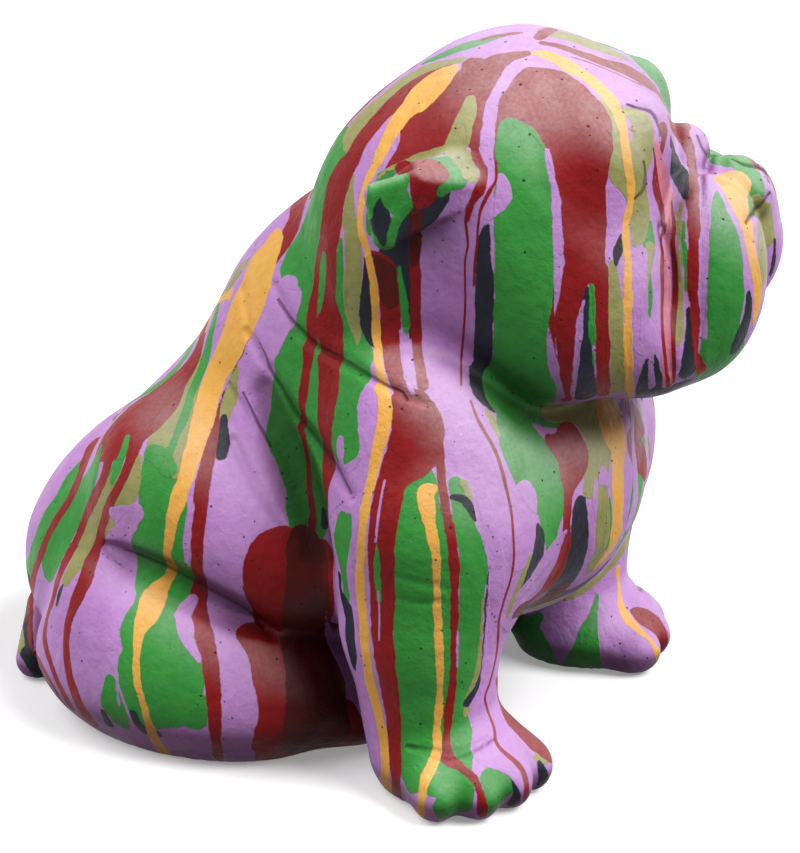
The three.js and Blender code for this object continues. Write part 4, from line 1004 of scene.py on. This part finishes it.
THIN_RED_TWO = {
    "eye": ((654, 152, 0.8), (656, 168, 1.2), (658, 185, 1.4), (662, 204, 1.2)),
    "cheek_front": ((496, 165, 1.4), (496, 180, 1.4), (490, 190, 2.2), (485, 200, 2), (480, 212, 1.4),
        (478, 228, 1.2), (477, 245, 1.2), (475, 262, 1.2), (474, 282, 1.2)),
    "muzzle_two": ((672, 205, 1), (674, 225, 2), (673, 245, 2.6), (674, 280, 3), (674, 310, 3),
        (673, 335, 2), (674, 380, 1.6)),
}
THIN_LILAC = {
    "knee": ((384, 485, 1.2), (381, 500, 1.2), (378, 520, 1.4), (376, 538, 1.2)),
    "knee_low": ((378, 596, 0.9), (379, 615, 0.9), (379, 636, 0.9)),
    "hip": ((114, 668, 1.2), (119, 688, 1.3), (126, 708, 1.3), (132, 724, 1.4), (140, 733, 1.6)),
}
THIN_LINES = {
    "red_line": ("red", THIN_RED),
    "red_line_two": ("red", THIN_RED_TWO),
    "lilac_line": ("lilac", THIN_LILAC),
}

# Where the photograph doesn't reach, paint is poured at random in the same coats:
# how many pours, half width where poured and where it runs, and how far it runs, in mm
POURS = {
    "green_ground": (20, (11, 26), (6, 12), (120, 330)),
    "olive_ground": (24, (6, 13), (2.5, 6), (80, 260)),
    "black_ground": (16, (3, 6), (1.8, 4), (40, 150)),
    "red_ground": (26, (10, 24), (3, 8), (120, 360)),
    "lilac_over": (18, (4, 9), (2, 4.5), (80, 260)),
    "green_over": (8, (6, 14), (3, 7), (60, 200)),
    "red_over": (12, (2.5, 5), (1.3, 2.2), (120, 360)),
    "orange_last": (9, (5, 9), (2.2, 3.2), (180, 420)),
}
chance = np.random.default_rng(19)
LOWEST_START, HIGH_START = 30.0, 180.0
HIGH_SHARE = 2  # how many times likelier a start high up is
STEEPEST, STEEP_SHARE = -0.2, 0.35  # starts on steep faces are rare, and rarest on hanging ones
ALL_ROUND = 6.3
POUR_STEP = 4.0
POUR_END = 4.0  # height above the ground where a run stops
OVERHANG = -0.8  # paint drops off faces that look down more than this
WANDER, WANDER_STEPS, STEADINESS = 0.22, 7, 0.4
BULB_LENGTH = 2.6  # in half widths of the bulb
RIPPLE, RIPPLE_LENGTH = 0.16, 17.0
BEAD = 1.2  # how much wider a run's end is
SIGHT_MARGIN = 4.0  # distance that a pour keeps from the side in the photograph
THINNEST_POUR = 1.0
FEWEST_PLACES = 4
SHOWN_STEP = 4  # one of so many places in the photograph is enough to keep clear of

# The map that tells what the photograph shows
SQUARE = 6.0
SEEN_FACING = 0.1
SEEN_DEPTH = 9.0

# What the material is told of every vertex
LINE_SPACING = 4.0
THINNEST_LINE = 0.5
HOLLOW_REACHES = ((8.0, 0.2), (22.0, 0.3), (50.0, 0.5))  # how far to look, and how much it counts
# Faces that look down count as hollow too, for the painted shade under the statue
UNDERSIDE_HOLLOW = 0.45
HIGHLIGHT_FACES = np.array([0.0, -0.45, 0.89], np.float32)  # the painted highlight lies on faces that look this way


def squares(x, y, shape):
    """The depth map's square for each pixel."""
    i = np.clip(x / SQUARE, 0, shape[0] - 1).astype(int)
    j = np.clip(y / SQUARE, 0, shape[1] - 1).astype(int)
    return i, j


def depth_map(points):
    """The nearest depth to the photograph's camera in each small square of the picture."""
    x, y, depth = to_photo(points)
    nearest = np.full([int(size / SQUARE) + 2 for size in PHOTO_SIZE], np.inf)
    np.minimum.at(nearest, squares(x, y, nearest.shape), depth)
    return nearest


def in_photo(p, normals, nearest):
    """Which places the photograph shows."""
    x, y, depth = to_photo(p)
    open_to_it = depth < nearest[squares(x, y, nearest.shape)] + SEEN_DEPTH
    return (normals @ BACK > SEEN_FACING) & open_to_it


def pour_starts(points, normals, in_sight, total):
    """Places out of the photograph's sight, more of them high up and on faces that look up."""
    hidden = ~in_sight & (points[:, 2] > LOWEST_START)
    chances = hidden * (np.clip(normals[:, 2], STEEPEST, 1) + STEEP_SHARE) ** 2
    chances[points[:, 2] > HIGH_START] *= HIGH_SHARE
    return points[chance.choice(len(points), total, p=chances / chances.sum())].astype(np.float32)


def flow(p, phase, length, nearest):
    """The places that each pour passes on its way down, until it ends or comes into sight."""
    tracks = [[place] for place in p]
    heading = np.zeros_like(p)
    live = np.ones(len(p), bool)
    for step in range(int(length.max() / POUR_STEP)):
        n = unit(slope(bare_clay, p))
        wander = WANDER * np.sin(step / WANDER_STEPS + phase)
        push = np.stack([wander[:, 0], wander[:, 1], np.full(len(p), -1.0)], 1) + STEADINESS * heading
        heading = unit(push - (push * n).sum(1, keepdims=True) * n)
        ahead = settle(bare_clay, (p + heading * POUR_STEP).astype(np.float32), 1)
        live &= (ahead[:, 2] > POUR_END) & (n[:, 2] > OVERHANG) & (length > step * POUR_STEP)
        live &= ~in_photo(ahead, n, nearest)
        if not live.any():
            break
        p = np.where(live[:, None], ahead, p)
        for i in np.flatnonzero(live):
            tracks[i].append(p[i])
    return [np.array(track) for track in tracks]


def pour_widths(places, poured, running, phase, shown):
    """Half widths from the bulb where the paint was poured to the end of its run."""
    along = np.arange(len(places)) * POUR_STEP
    bulb = poured * np.clip(0.5 + along / poured, 0, 1)
    fade = np.exp(-(along / (BULB_LENGTH * poured)) ** 2)
    ripple = 1 + RIPPLE * np.sin(along / RIPPLE_LENGTH + phase)
    widths = running * ripple * (1 - fade) + bulb * fade
    widths[-2:] *= BEAD
    clear = [np.sqrt(((shown - place) ** 2).sum(1).min()) - SIGHT_MARGIN for place in places]
    return np.minimum(widths, clear)


def hidden_pours(points, normals):
    """Runs that start out of the photograph's sight and flow down the clay, by coat."""
    nearest = depth_map(points)
    in_sight = in_photo(points, normals, nearest)
    total = sum(count for count, *_ in POURS.values())
    starts = pour_starts(points, normals, in_sight, total)
    poured, running, length = (
        np.concatenate([chance.uniform(*pour[part], pour[0]) for pour in POURS.values()])
        for part in (1, 2, 3)
    )
    phase = chance.uniform(0, ALL_ROUND, (total, 2))
    shown = points[in_sight][::SHOWN_STEP]
    pours = zip(flow(starts, phase, length, nearest), poured, running, phase[:, 0])
    runs = {}
    for coat, (count, *_) in POURS.items():
        runs[coat] = []
        for places, bulb, thin, shift in islice(pours, count):
            widths = pour_widths(places, bulb, thin, shift, shown)
            ends = np.flatnonzero(widths < THINNEST_POUR)
            if len(ends):
                places, widths = places[:ends[0]], widths[:ends[0]]
            if len(places) >= FEWEST_PLACES:
                runs[coat].append((places, widths))
        runs[coat] = onto_clay(runs[coat])
    return runs


def coat_attributes(points, normals):
    """For each coat, how far every vertex is outside its runs, in millimetres."""
    hidden = hidden_pours(points, normals)
    names = [(coat, run) for coat, _, runs in COATS for run in runs]
    traced = onto_clay(trace([runs[run] for _, _, runs in COATS for run in runs]))
    traced = dict(zip(names, traced))
    attributes = {}
    for coat, _, runs in COATS:
        d = np.full(len(points), REACH, np.float32)
        for places, widths in [traced[coat, run][:2] for run in runs] + hidden.get(coat, []):
            d = np.minimum(d, run_distance(points, places, widths))
        attributes[coat] = d
    return attributes


def wrinkle_runs():
    """The wrinkles of both sides of the dog, as places, half widths and normals."""
    runs = []
    for wrinkles, on_head in ((WRINKLES, False), (HEAD_WRINKLES, True)):
        for places, widths, normals in trace(list(wrinkles.values()), LINE_SPACING):
            runs.append((places, widths, normals))
            runs.append((other_side(places, on_head), widths, other_side(normals, on_head, False)))
    return runs


def line_attributes(points, runs):
    """For thin lines: the sideways distance in half widths, and the distance in millimetres."""
    sideways = np.full(len(points), LINE_CLIP, np.float32)
    away = np.full(len(points), REACH, np.float32)
    for places, widths, normals in runs:
        low, high = places.min(0) - REACH, places.max(0) + REACH
        near = np.flatnonzero(((points > low) & (points < high)).all(1))
        q = points[near]
        for a, b, width, normal in zip(places[:-1], places[1:], widths[:-1], normals[:-1]):
            along = b - a
            if along @ along > RUN_BREAK ** 2:
                continue
            share = np.clip((q - a) @ along / max(along @ along, 1e-6), 0, 1)
            offset = q - a - share[:, None] * along
            gap = np.linalg.norm(offset, axis=1)
            closer = gap < away[near]
            across = offset[closer] @ unit(np.cross(normal, along)) / max(width, THINNEST_LINE)
            away[near[closer]] = gap[closer]
            sideways[near[closer]] = np.clip(across, -LINE_CLIP, LINE_CLIP)
    return sideways, away


def hollowness(points, normals):
    """How far the clay and the ground close each point in: 0 in the open, 1 deep in a hollow."""
    # The material paints shade by this: in hollows, near the ground and on faces that look down
    total = UNDERSIDE_HOLLOW * np.clip(-normals[:, 2], 0, 1)
    for reach, weight in HOLLOW_REACHES:
        ahead = points + normals * reach
        clear = np.minimum(bare_clay(ahead), ahead[:, 2])
        total += weight * np.clip(1 - clear / reach, 0, 1)
    return total


def surface_attributes(points, normals):
    """What the paint's material needs to know of every vertex."""
    attributes = coat_attributes(points, normals)
    lines = {name: trace(list(runs.values()), LINE_SPACING) for name, (_, runs) in THIN_LINES.items()}
    lines["wrinkle"] = wrinkle_runs()
    for name, runs in lines.items():
        attributes[name], attributes[name + "_gap"] = line_attributes(points, onto_clay(runs))
    attributes["crease"] = crease_depth(points)
    attributes["hollow"] = hollowness(points, normals)
    # faces that look up and forward get the painted highlight in the material
    attributes["upward"] = np.clip(unit(slope(bare_clay, points)) @ HIGHLIGHT_FACES, 0, 1)
    return attributes


# The statue's mesh, one closed piece for each casting

def close_mesh(mesh):
    """Caps the open seams of a casting and turns its faces outwards."""
    bm = bmesh.new()
    bm.from_mesh(mesh)
    border = [edge for edge in bm.edges if edge.is_boundary]
    caps = bmesh.ops.holes_fill(bm, edges=border, sides=0)["faces"]
    bmesh.ops.triangulate(bm, faces=caps)
    bmesh.ops.recalc_face_normals(bm, faces=bm.faces)
    layer = bm.verts.layers.float_vector["field_normal"]
    if sum(face.normal.dot(face.verts[0][layer]) for face in bm.faces) < 0:
        bmesh.ops.reverse_faces(bm, faces=bm.faces)
    bm.to_mesh(mesh)
    bm.free()


def casting_piece(name, faces, points, normals, attributes):
    """One casting's mesh, shaded by the slope of the whole statue so that its seams don't show."""
    used, index = np.unique(faces, return_inverse=True)
    mesh = bpy.data.meshes.new(name + "_casting")
    mesh.from_pydata(((points[used] + OFFSET) * MM).tolist(), [], index.reshape(faces.shape).tolist())
    for key, row in attributes.items():
        column = mesh.attributes.new(key, "FLOAT", "POINT").data
        column.foreach_set("value", row[used].astype(np.float32))
    normal = mesh.attributes.new("field_normal", "FLOAT_VECTOR", "POINT")
    normal.data.foreach_set("vector", normals[used].astype(np.float32).ravel())
    close_mesh(mesh)
    mesh.shade_smooth()
    kept = np.zeros(len(mesh.vertices) * 3, np.float32)
    mesh.attributes["field_normal"].data.foreach_get("vector", kept)
    mesh.normals_split_custom_set_from_vertices(kept.reshape(-1, 3).tolist())
    mesh.attributes.remove(mesh.attributes["field_normal"])
    piece = bpy.data.objects.new(name + "_casting", mesh)
    bpy.context.scene.collection.objects.link(piece)
    return piece


def statue_pieces():
    """The castings as pieces that fit together along their seams."""
    points, quads = surface_net(*sampled(clay, STATUE_LOW, STATUE_HIGH))
    points = settle(clay, points.astype(np.float32))
    normals = unit(slope(clay, points))
    owners = label_faces(points, quads)
    attributes = surface_attributes(points, normals)
    return {
        name: casting_piece(name, quads[owners[name]], points, normals, attributes) for name in CASTINGS
    }


# Materials

PAINTS = {  # two tones of each paint, in linear light
    "lilac": ((0.50, 0.235, 0.58), (0.60, 0.31, 0.69)),
    "green": ((0.036, 0.25, 0.042), (0.055, 0.34, 0.06)),
    "red": ((0.22, 0.009, 0.010), (0.31, 0.015, 0.017)),
    "olive": ((0.27, 0.265, 0.09), (0.38, 0.37, 0.14)),
    "black": ((0.010, 0.012, 0.018), (0.022, 0.026, 0.038)),
    "orange": ((0.82, 0.40, 0.065), (0.93, 0.50, 0.12)),
    # a very dark red, mostly used for painted shade
    "maroon": ((0.065, 0.006, 0.004), (0.11, 0.010, 0.008)),
    "rose": ((0.62, 0.16, 0.26), (0.80, 0.30, 0.40)),
}
# Colours of the painted shade in creases, hollows and pinholes, and of the painted highlight
CREASE_SHADE = (0.22, 0.17, 0.18)
HOLLOW_SHADE = (0.26, 0.17, 0.18)
HIGHLIGHT_COLOUR = (0.93, 0.90, 0.92)
PINHOLE_SHADE = (0.02, 0.014, 0.012)

# How strong each mark is in the colour, from 0 to 1
HIGHLIGHT_SHARE, CREASE_SHARE, HOLLOW_SHARE, WRINKLE_SHARE, HOLE_SHARE = 0.21, 0.55, 0.75, 0.75, 0.8
BROAD_TONE, STREAK_TONE = 0.65, 0.35

# From where to where each mark grows: creases in millimetres, heights in metres
CREASE_DEPTHS = (0.6, 4.0)
HOLLOWS = (0.17, 0.75)
HIGHLIGHT_FACINGS = (0.38, 0.78)
HIGHLIGHT_MOTTLE = (0.7, 1.3)
HIGHLIGHT_HEIGHTS, LOW_HIGHLIGHT = (0.05, 0.22), 0.45
DARK_PAINT, DARK_HIGHLIGHT = 0.06, 0.25
CREASE_HIGHLIGHT_FADE, HOLLOW_HIGHLIGHT_FADE = 2.0, 1.8  # how soon creases and hollows lose the painted highlight
SATIN = (0.40, 0.56)
SPECULAR = 0.1

# Relief of the surface in millimetres
COAT_THICKNESS, LINE_THICKNESS = 0.16, 0.1
STREAK_RELIEF, HANDLED_RELIEF, GRAIN_RELIEF, PITTED_RELIEF = 0.05, 1.9, 0.12, 0.4
PINHOLE_DEPTH, WRINKLE_DEPTH = 0.9, 0.9

# Edges of the paint: softness and wobble in millimetres, and a line's in half widths
COAT_SOFTNESS = 0.35
WIDE_WOBBLE, FINE_WOBBLE = 3.2, 0.8
LINE_WOBBLE = 0.18
LINE_EDGE = (0.75, 1.25)
WRINKLE_EDGE = (0.0, 2.4)
LINE_END = (2.2, 3.2)

# Pinholes: metres between them, the share of places that have one, and radii as shares of that spacing
PINHOLE_SPACING = 0.0058
PINHOLE_SHARE = 0.62
PINHOLE_RADII = (0.03, 0.15)
PINHOLE_EDGE = (0.55, 1.1)

# Sockets of a mix node that carry colours
COLOUR_A, COLOUR_B, COLOUR_OUT = 6, 7, 2


class Graph:
    """The node tree of a material or a world, built by short calls."""

    def __init__(self, owner):
        owner.use_nodes = True
        self.tree = owner.node_tree
        self.tree.nodes.clear()

    def node(self, kind, **settings):
        node = self.tree.nodes.new(kind)
        for key, value in settings.items():
            setattr(node, key, value)
        return node

    def feed(self, socket, value):
        if isinstance(value, bpy.types.NodeSocket):
            self.tree.links.new(value, socket)
        elif isinstance(value, tuple) and len(socket.default_value) == 4:
            socket.default_value = (*value, 1.0)
        else:
            socket.default_value = value

    def math(self, operation, a, b=0.0, clamp=False):
        node = self.node("ShaderNodeMath", operation=operation, use_clamp=clamp)
        self.feed(node.inputs[0], a)
        self.feed(node.inputs[1], b)
        return node.outputs[0]

    def plus(self, a, b):
        return self.math("ADD", a, b)

    def times(self, a, b):
        return self.math("MULTIPLY", a, b)

    def without(self, share, strength):
        """1 where there is no share of something, down to 0 as share times strength grows to 1."""
        return self.math("SUBTRACT", 1.0, self.math("MULTIPLY", share, strength, clamp=True))

    def attribute(self, name):
        return self.node("ShaderNodeAttribute", attribute_name=name).outputs["Fac"]

    def ramp(self, value, low, high, out_low=0.0, out_high=1.0, smooth=True):
        node = self.node("ShaderNodeMapRange", clamp=True)
        node.interpolation_type = "SMOOTHSTEP" if smooth else "LINEAR"
        self.feed(node.inputs["Value"], value)
        for key, number in (("From Min", low), ("From Max", high), ("To Min", out_low), ("To Max", out_high)):
            node.inputs[key].default_value = number
        return node.outputs["Result"]

    def mix(self, share, a, b, blend="MIX"):
        node = self.node("ShaderNodeMix", data_type="RGBA", blend_type=blend)
        self.feed(node.inputs["Factor"], share)
        self.feed(node.inputs[COLOUR_A], a)
        self.feed(node.inputs[COLOUR_B], b)
        return node.outputs[COLOUR_OUT]

    def shown_rays(self):
        """1 for the rays that make the picture: from the camera, off a gloss or through glass."""
        rays = self.node("ShaderNodeLightPath").outputs
        bent = self.math("MAXIMUM", rays["Is Glossy Ray"], rays["Is Transmission Ray"])
        return self.math("MAXIMUM", rays["Is Camera Ray"], bent)


class Finish(Graph):
    """A material with one shader, whose noise lies in the object's own places."""

    def __init__(self, name, stretch=(1, 1, 1)):
        self.material = bpy.data.materials.new(name)
        super().__init__(self.material)
        self.shader = self.node("ShaderNodeBsdfPrincipled")
        output = self.node("ShaderNodeOutputMaterial")
        self.tree.links.new(self.shader.outputs["BSDF"], output.inputs["Surface"])
        scale = self.node("ShaderNodeVectorMath", operation="MULTIPLY")
        self.feed(scale.inputs[0], self.node("ShaderNodeTexCoord").outputs["Object"])
        scale.inputs[1].default_value = stretch
        self.place = scale.outputs[0]

    def noise(self, size, detail=2.0, shift=0.0, roughness=0.5):
        """Noise whose features are about size metres wide."""
        place = self.node("ShaderNodeVectorMath", operation="ADD")
        self.feed(place.inputs[0], self.place)
        place.inputs[1].default_value = (shift, shift * 2, -shift)
        node = self.node("ShaderNodeTexNoise")
        self.feed(node.inputs["Vector"], place.outputs[0])
        for key, number in (("Scale", 1 / size), ("Detail", detail), ("Roughness", roughness)):
            node.inputs[key].default_value = number
        return node.outputs["Fac"]

    def patches(self, size, low=0.3, high=0.7, detail=3, shift=0.0, roughness=0.5):
        """The same noise, drawn out to go from 0 to 1."""
        return self.ramp(self.noise(size, detail, shift, roughness), low, high)

    def bump(self, height):
        """Height in millimetres."""
        node = self.node("ShaderNodeBump")
        node.inputs["Strength"].default_value = 1.0
        node.inputs["Distance"].default_value = MM
        self.feed(node.inputs["Height"], height)
        self.feed(self.shader.inputs["Normal"], node.outputs["Normal"])


def edge_wobble(g):
    """Millimetres by which the edges of the paint move in and out."""
    wide = g.math("SUBTRACT", g.noise(0.011, shift=0.9), 0.5)
    fine = g.math("SUBTRACT", g.noise(0.0028, detail=1, shift=2.4), 0.5)
    return g.plus(g.times(wide, WIDE_WOBBLE), g.times(fine, FINE_WOBBLE))


def line(g, name, wobble, edge):
    """How much of a thin line is here; its edge goes from solid to clear in half widths."""
    sideways = g.math("ABSOLUTE", g.plus(g.attribute(name), g.times(wobble, LINE_WOBBLE)))
    close = g.ramp(g.attribute(name + "_gap"), *LINE_END, 1.0, 0.0)
    return g.times(g.ramp(sideways, *edge, 1.0, 0.0), close)


def poured_paint(g, wobble):
    """The coats over the lilac base, with the thin lines under the orange: colour, and height in mm."""
    streaks = g.patches(0.006, shift=1.7, roughness=0.65)
    broad = g.patches(0.05, shift=0.3, roughness=0.6)
    tone = g.plus(g.times(broad, BROAD_TONE), g.times(streaks, STREAK_TONE))
    layers = []
    for coat, paint, _ in COATS:
        if paint == "orange":
            for name, (line_paint, _) in THIN_LINES.items():
                layers.append((line(g, name, wobble, LINE_EDGE), line_paint, LINE_THICKNESS))
        outside = g.plus(g.attribute(coat), wobble)
        layers.append((g.ramp(outside, -COAT_SOFTNESS, COAT_SOFTNESS, 1.0, 0.0), paint, COAT_THICKNESS))
    colour = g.mix(tone, *PAINTS["lilac"])
    height = g.times(streaks, STREAK_RELIEF)
    for share, paint, thickness in layers:
        colour = g.mix(share, colour, g.mix(tone, *PAINTS[paint]))
        height = g.plus(height, g.times(share, thickness))
    return colour, height


def pinholes(g):
    """1 in the small round holes that trapped air leaves in the clay."""
    cells = g.node("ShaderNodeTexVoronoi")
    g.feed(cells.inputs["Vector"], g.place)
    cells.inputs["Scale"].default_value = 1 / PINHOLE_SPACING
    draw = g.node("ShaderNodeSeparateColor")
    g.feed(draw.inputs[0], cells.outputs["Color"])
    radius = g.ramp(draw.outputs[0], 1 - PINHOLE_SHARE, 1.0, *PINHOLE_RADII, smooth=False)
    hole = g.ramp(g.math("DIVIDE", cells.outputs["Distance"], radius), *PINHOLE_EDGE, 1.0, 0.0)
    return g.times(hole, g.math("GREATER_THAN", draw.outputs[0], 1 - PINHOLE_SHARE))


def painted_highlight(g, colour, crease, hollow):
    """How much painted highlight lies on the paint: mottled, and less near the ground and on dark paint."""
    mottled = g.plus(g.patches(0.0022, 0.35, 0.65, shift=7.3, roughness=0.6), g.patches(0.012, shift=8.1))
    height = g.node("ShaderNodeSeparateXYZ")
    g.feed(height.inputs[0], g.place)
    grey = g.node("ShaderNodeRGBToBW")
    g.feed(grey.inputs[0], colour)
    share = g.ramp(g.attribute("upward"), *HIGHLIGHT_FACINGS, 0.0, HIGHLIGHT_SHARE)
    for factor in (
        g.ramp(mottled, 0.0, 2.0, *HIGHLIGHT_MOTTLE, smooth=False),
        g.ramp(height.outputs["Z"], *HIGHLIGHT_HEIGHTS, LOW_HIGHLIGHT, 1.0),
        g.ramp(grey.outputs[0], 0.0, DARK_PAINT, DARK_HIGHLIGHT, 1.0, smooth=False),
        g.without(crease, CREASE_HIGHLIGHT_FADE),
        g.without(hollow, HOLLOW_HIGHLIGHT_FADE),
    ):
        share = g.times(share, factor)
    return share


def painted_clay():
    """Poured paint on fibre clay, with its pinholes and wrinkles, painted shade and a painted highlight."""
    g = Finish("painted_clay")
    wobble = edge_wobble(g)
    colour, height = poured_paint(g, wobble)
    holes = pinholes(g)
    wrinkle = line(g, "wrinkle", wobble, WRINKLE_EDGE)
    crease = g.ramp(g.attribute("crease"), *CREASE_DEPTHS, 0.0, CREASE_SHARE)
    hollow = g.ramp(g.attribute("hollow"), *HOLLOWS, 0.0, HOLLOW_SHARE)
    # painted highlight: a pale colour mixed in on faces that look up and forward
    colour = g.mix(painted_highlight(g, colour, crease, hollow), colour, HIGHLIGHT_COLOUR)
    # painted shade in hollows, near the ground and under the statue
    colour = g.mix(hollow, colour, HOLLOW_SHADE, "MULTIPLY")
    # painted shade along the creases and in the wrinkle lines
    colour = g.mix(crease, colour, CREASE_SHADE, "MULTIPLY")
    colour = g.mix(g.times(wrinkle, WRINKLE_SHARE), colour, CREASE_SHADE, "MULTIPLY")
    # painted shade in the pinholes
    colour = g.mix(g.times(holes, HOLE_SHARE), colour, PINHOLE_SHADE)
    for mark, relief in (
        (g.noise(0.018, detail=4, shift=3.1, roughness=0.55), HANDLED_RELIEF),
        (g.noise(0.0016, shift=4.4), GRAIN_RELIEF),
        (g.noise(0.005, detail=3, shift=6.1, roughness=0.6), PITTED_RELIEF),
        (holes, -PINHOLE_DEPTH),
        (wrinkle, -WRINKLE_DEPTH),
    ):
        height = g.plus(height, g.times(mark, relief))
    g.bump(height)
    g.feed(g.shader.inputs["Base Color"], colour)
    satin = g.ramp(g.noise(0.012, detail=3, shift=5.2), 0.25, 0.75, *SATIN)
    g.feed(g.shader.inputs["Roughness"], satin)
    g.shader.inputs["Specular IOR Level"].default_value = SPECULAR
    return g.material


def plain_material(name, dark, light, size, roughness, relief, metallic=0.0, sheen=0.0, stretch=(1, 1, 1)):
    """Two tones in noise, with the roughness and the bump from the same kind of noise."""
    g = Finish(name, stretch)
    speckle = g.noise(size, detail=4, shift=0.7, roughness=0.6)
    gloss = g.noise(size * 3, shift=1.9)
    g.feed(g.shader.inputs["Base Color"], g.mix(g.ramp(speckle, 0.3, 0.7), dark, light))
    g.feed(g.shader.inputs["Roughness"], g.ramp(gloss, 0.3, 0.7, roughness - 0.06, roughness + 0.06))
    g.shader.inputs["Metallic"].default_value = metallic
    g.shader.inputs["Sheen Weight"].default_value = sheen
    g.bump(g.times(speckle, relief))
    return g.material


pieces = statue_pieces()
clay_paint = painted_clay()
for name, piece in pieces.items():
    piece.data.materials.append(clay_paint)
    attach(piece, "root")
    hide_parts(name)

bare = plain_material(
    "bare_clay", (0.30, 0.24, 0.19), (0.44, 0.37, 0.30), size=0.008, roughness=0.85, relief=0.3,
)
felt = plain_material(
    "felt", (0.020, 0.020, 0.022), (0.05, 0.05, 0.055), size=0.0012, roughness=0.93, relief=0.35, sheen=0.3,
)
steel = plain_material(
    "steel", (0.46, 0.46, 0.47), (0.60, 0.60, 0.61), size=0.0008, roughness=0.34, relief=0.02,
    metallic=1.0, stretch=(1, 1, 0.05),
)
for name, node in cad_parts.items():
    if name in pieces:
        continue
    finish = felt if name.endswith("_pad") else bare if name == "base_plate" else steel
    for slot in node.material_slots:
        slot.material = finish


# Floor, light and camera

FLOOR_HALF = 12.0
FLOOR_GLOW = 0.25
FLOOR_ROUGHNESS = 0.9
FLOOR_BOUNCE = (0.12, 0.12, 0.12)
FLOOR_WHITES = ((0.86, 0.86, 0.86), (0.89, 0.89, 0.89))
SOFT_LIGHT = (1.0, 0.99, 0.98)
SOFT_STRENGTH = 0.12
WHITE = (1.0, 1.0, 1.0)
SENSOR = 36.0
CLIP = (0.05, 60.0)


def studio_floor():
    """A floor that looks white and gives the statue little light from below."""
    mesh = bpy.data.meshes.new("floor")
    corners = [(x * FLOOR_HALF, y * FLOOR_HALF, 0) for x, y in ((-1, -1), (1, -1), (1, 1), (-1, 1))]
    mesh.from_pydata(corners, [], [(0, 1, 2, 3)])
    g = Finish("floor")
    shown = g.shown_rays()
    white = g.mix(g.noise(0.4, shift=0.5), *FLOOR_WHITES)
    g.feed(g.shader.inputs["Base Color"], g.mix(shown, FLOOR_BOUNCE, white))
    g.feed(g.shader.inputs["Emission Strength"], g.times(shown, FLOOR_GLOW))
    g.feed(g.shader.inputs["Emission Color"], WHITE)
    g.shader.inputs["Roughness"].default_value = FLOOR_ROUGHNESS
    g.shader.inputs["Specular IOR Level"].default_value = SPECULAR
    mesh.materials.append(g.material)
    floor = bpy.data.objects.new("floor", mesh)
    bpy.context.scene.collection.objects.link(floor)
    return floor


def studio_world():
    """White where it is seen, and a dim soft light for everything else."""
    world = bpy.data.worlds.new("studio")
    g = Graph(world)
    soft, white = g.node("ShaderNodeBackground"), g.node("ShaderNodeBackground")
    g.feed(soft.inputs["Color"], SOFT_LIGHT)
    g.feed(soft.inputs["Strength"], SOFT_STRENGTH)
    g.feed(white.inputs["Color"], WHITE)
    either = g.node("ShaderNodeMixShader")
    for socket, source in zip(either.inputs, (g.shown_rays(), soft.outputs[0], white.outputs[0])):
        g.feed(socket, source)
    g.feed(g.node("ShaderNodeOutputWorld").inputs["Surface"], either.outputs[0])
    return world


def sun(name, toward, strength, spread):
    """A lamp that shines from the direction toward, with soft shadows by its spread in degrees."""
    light = bpy.data.lights.new(name, "SUN")
    light.energy = strength
    light.angle = radians(spread)
    lamp = bpy.data.objects.new(name, light)
    lamp.rotation_euler = Vector(toward).to_track_quat("Z", "Y").to_euler()
    bpy.context.scene.collection.objects.link(lamp)


def photo_camera():
    """The photograph's camera, moved into the frame."""
    lens = bpy.data.cameras.new("camera")
    lens.sensor_width = SENSOR
    lens.lens = FOCAL_PIXELS * SENSOR / max(PHOTO_SIZE)
    lens.clip_start, lens.clip_end = CLIP
    camera = bpy.data.objects.new("camera", lens)
    bpy.context.scene.collection.objects.link(camera)
    turn = Matrix(np.stack([RIGHT, UP, BACK], 1).tolist()).to_4x4()
    camera.matrix_world = Matrix.Translation(Vector((EYE + OFFSET) * MM)) @ turn
    return camera


floor = studio_floor()
bpy.context.scene.world = studio_world()
sun("key_light", toward=(0.0, -0.66, 0.75), strength=3.3, spread=36)
sun("back_light", toward=(-0.4, 0.5, 0.77), strength=2.2, spread=60)
bpy.context.scene.camera = photo_camera()
bpy.context.scene.view_settings.view_transform = "Standard"
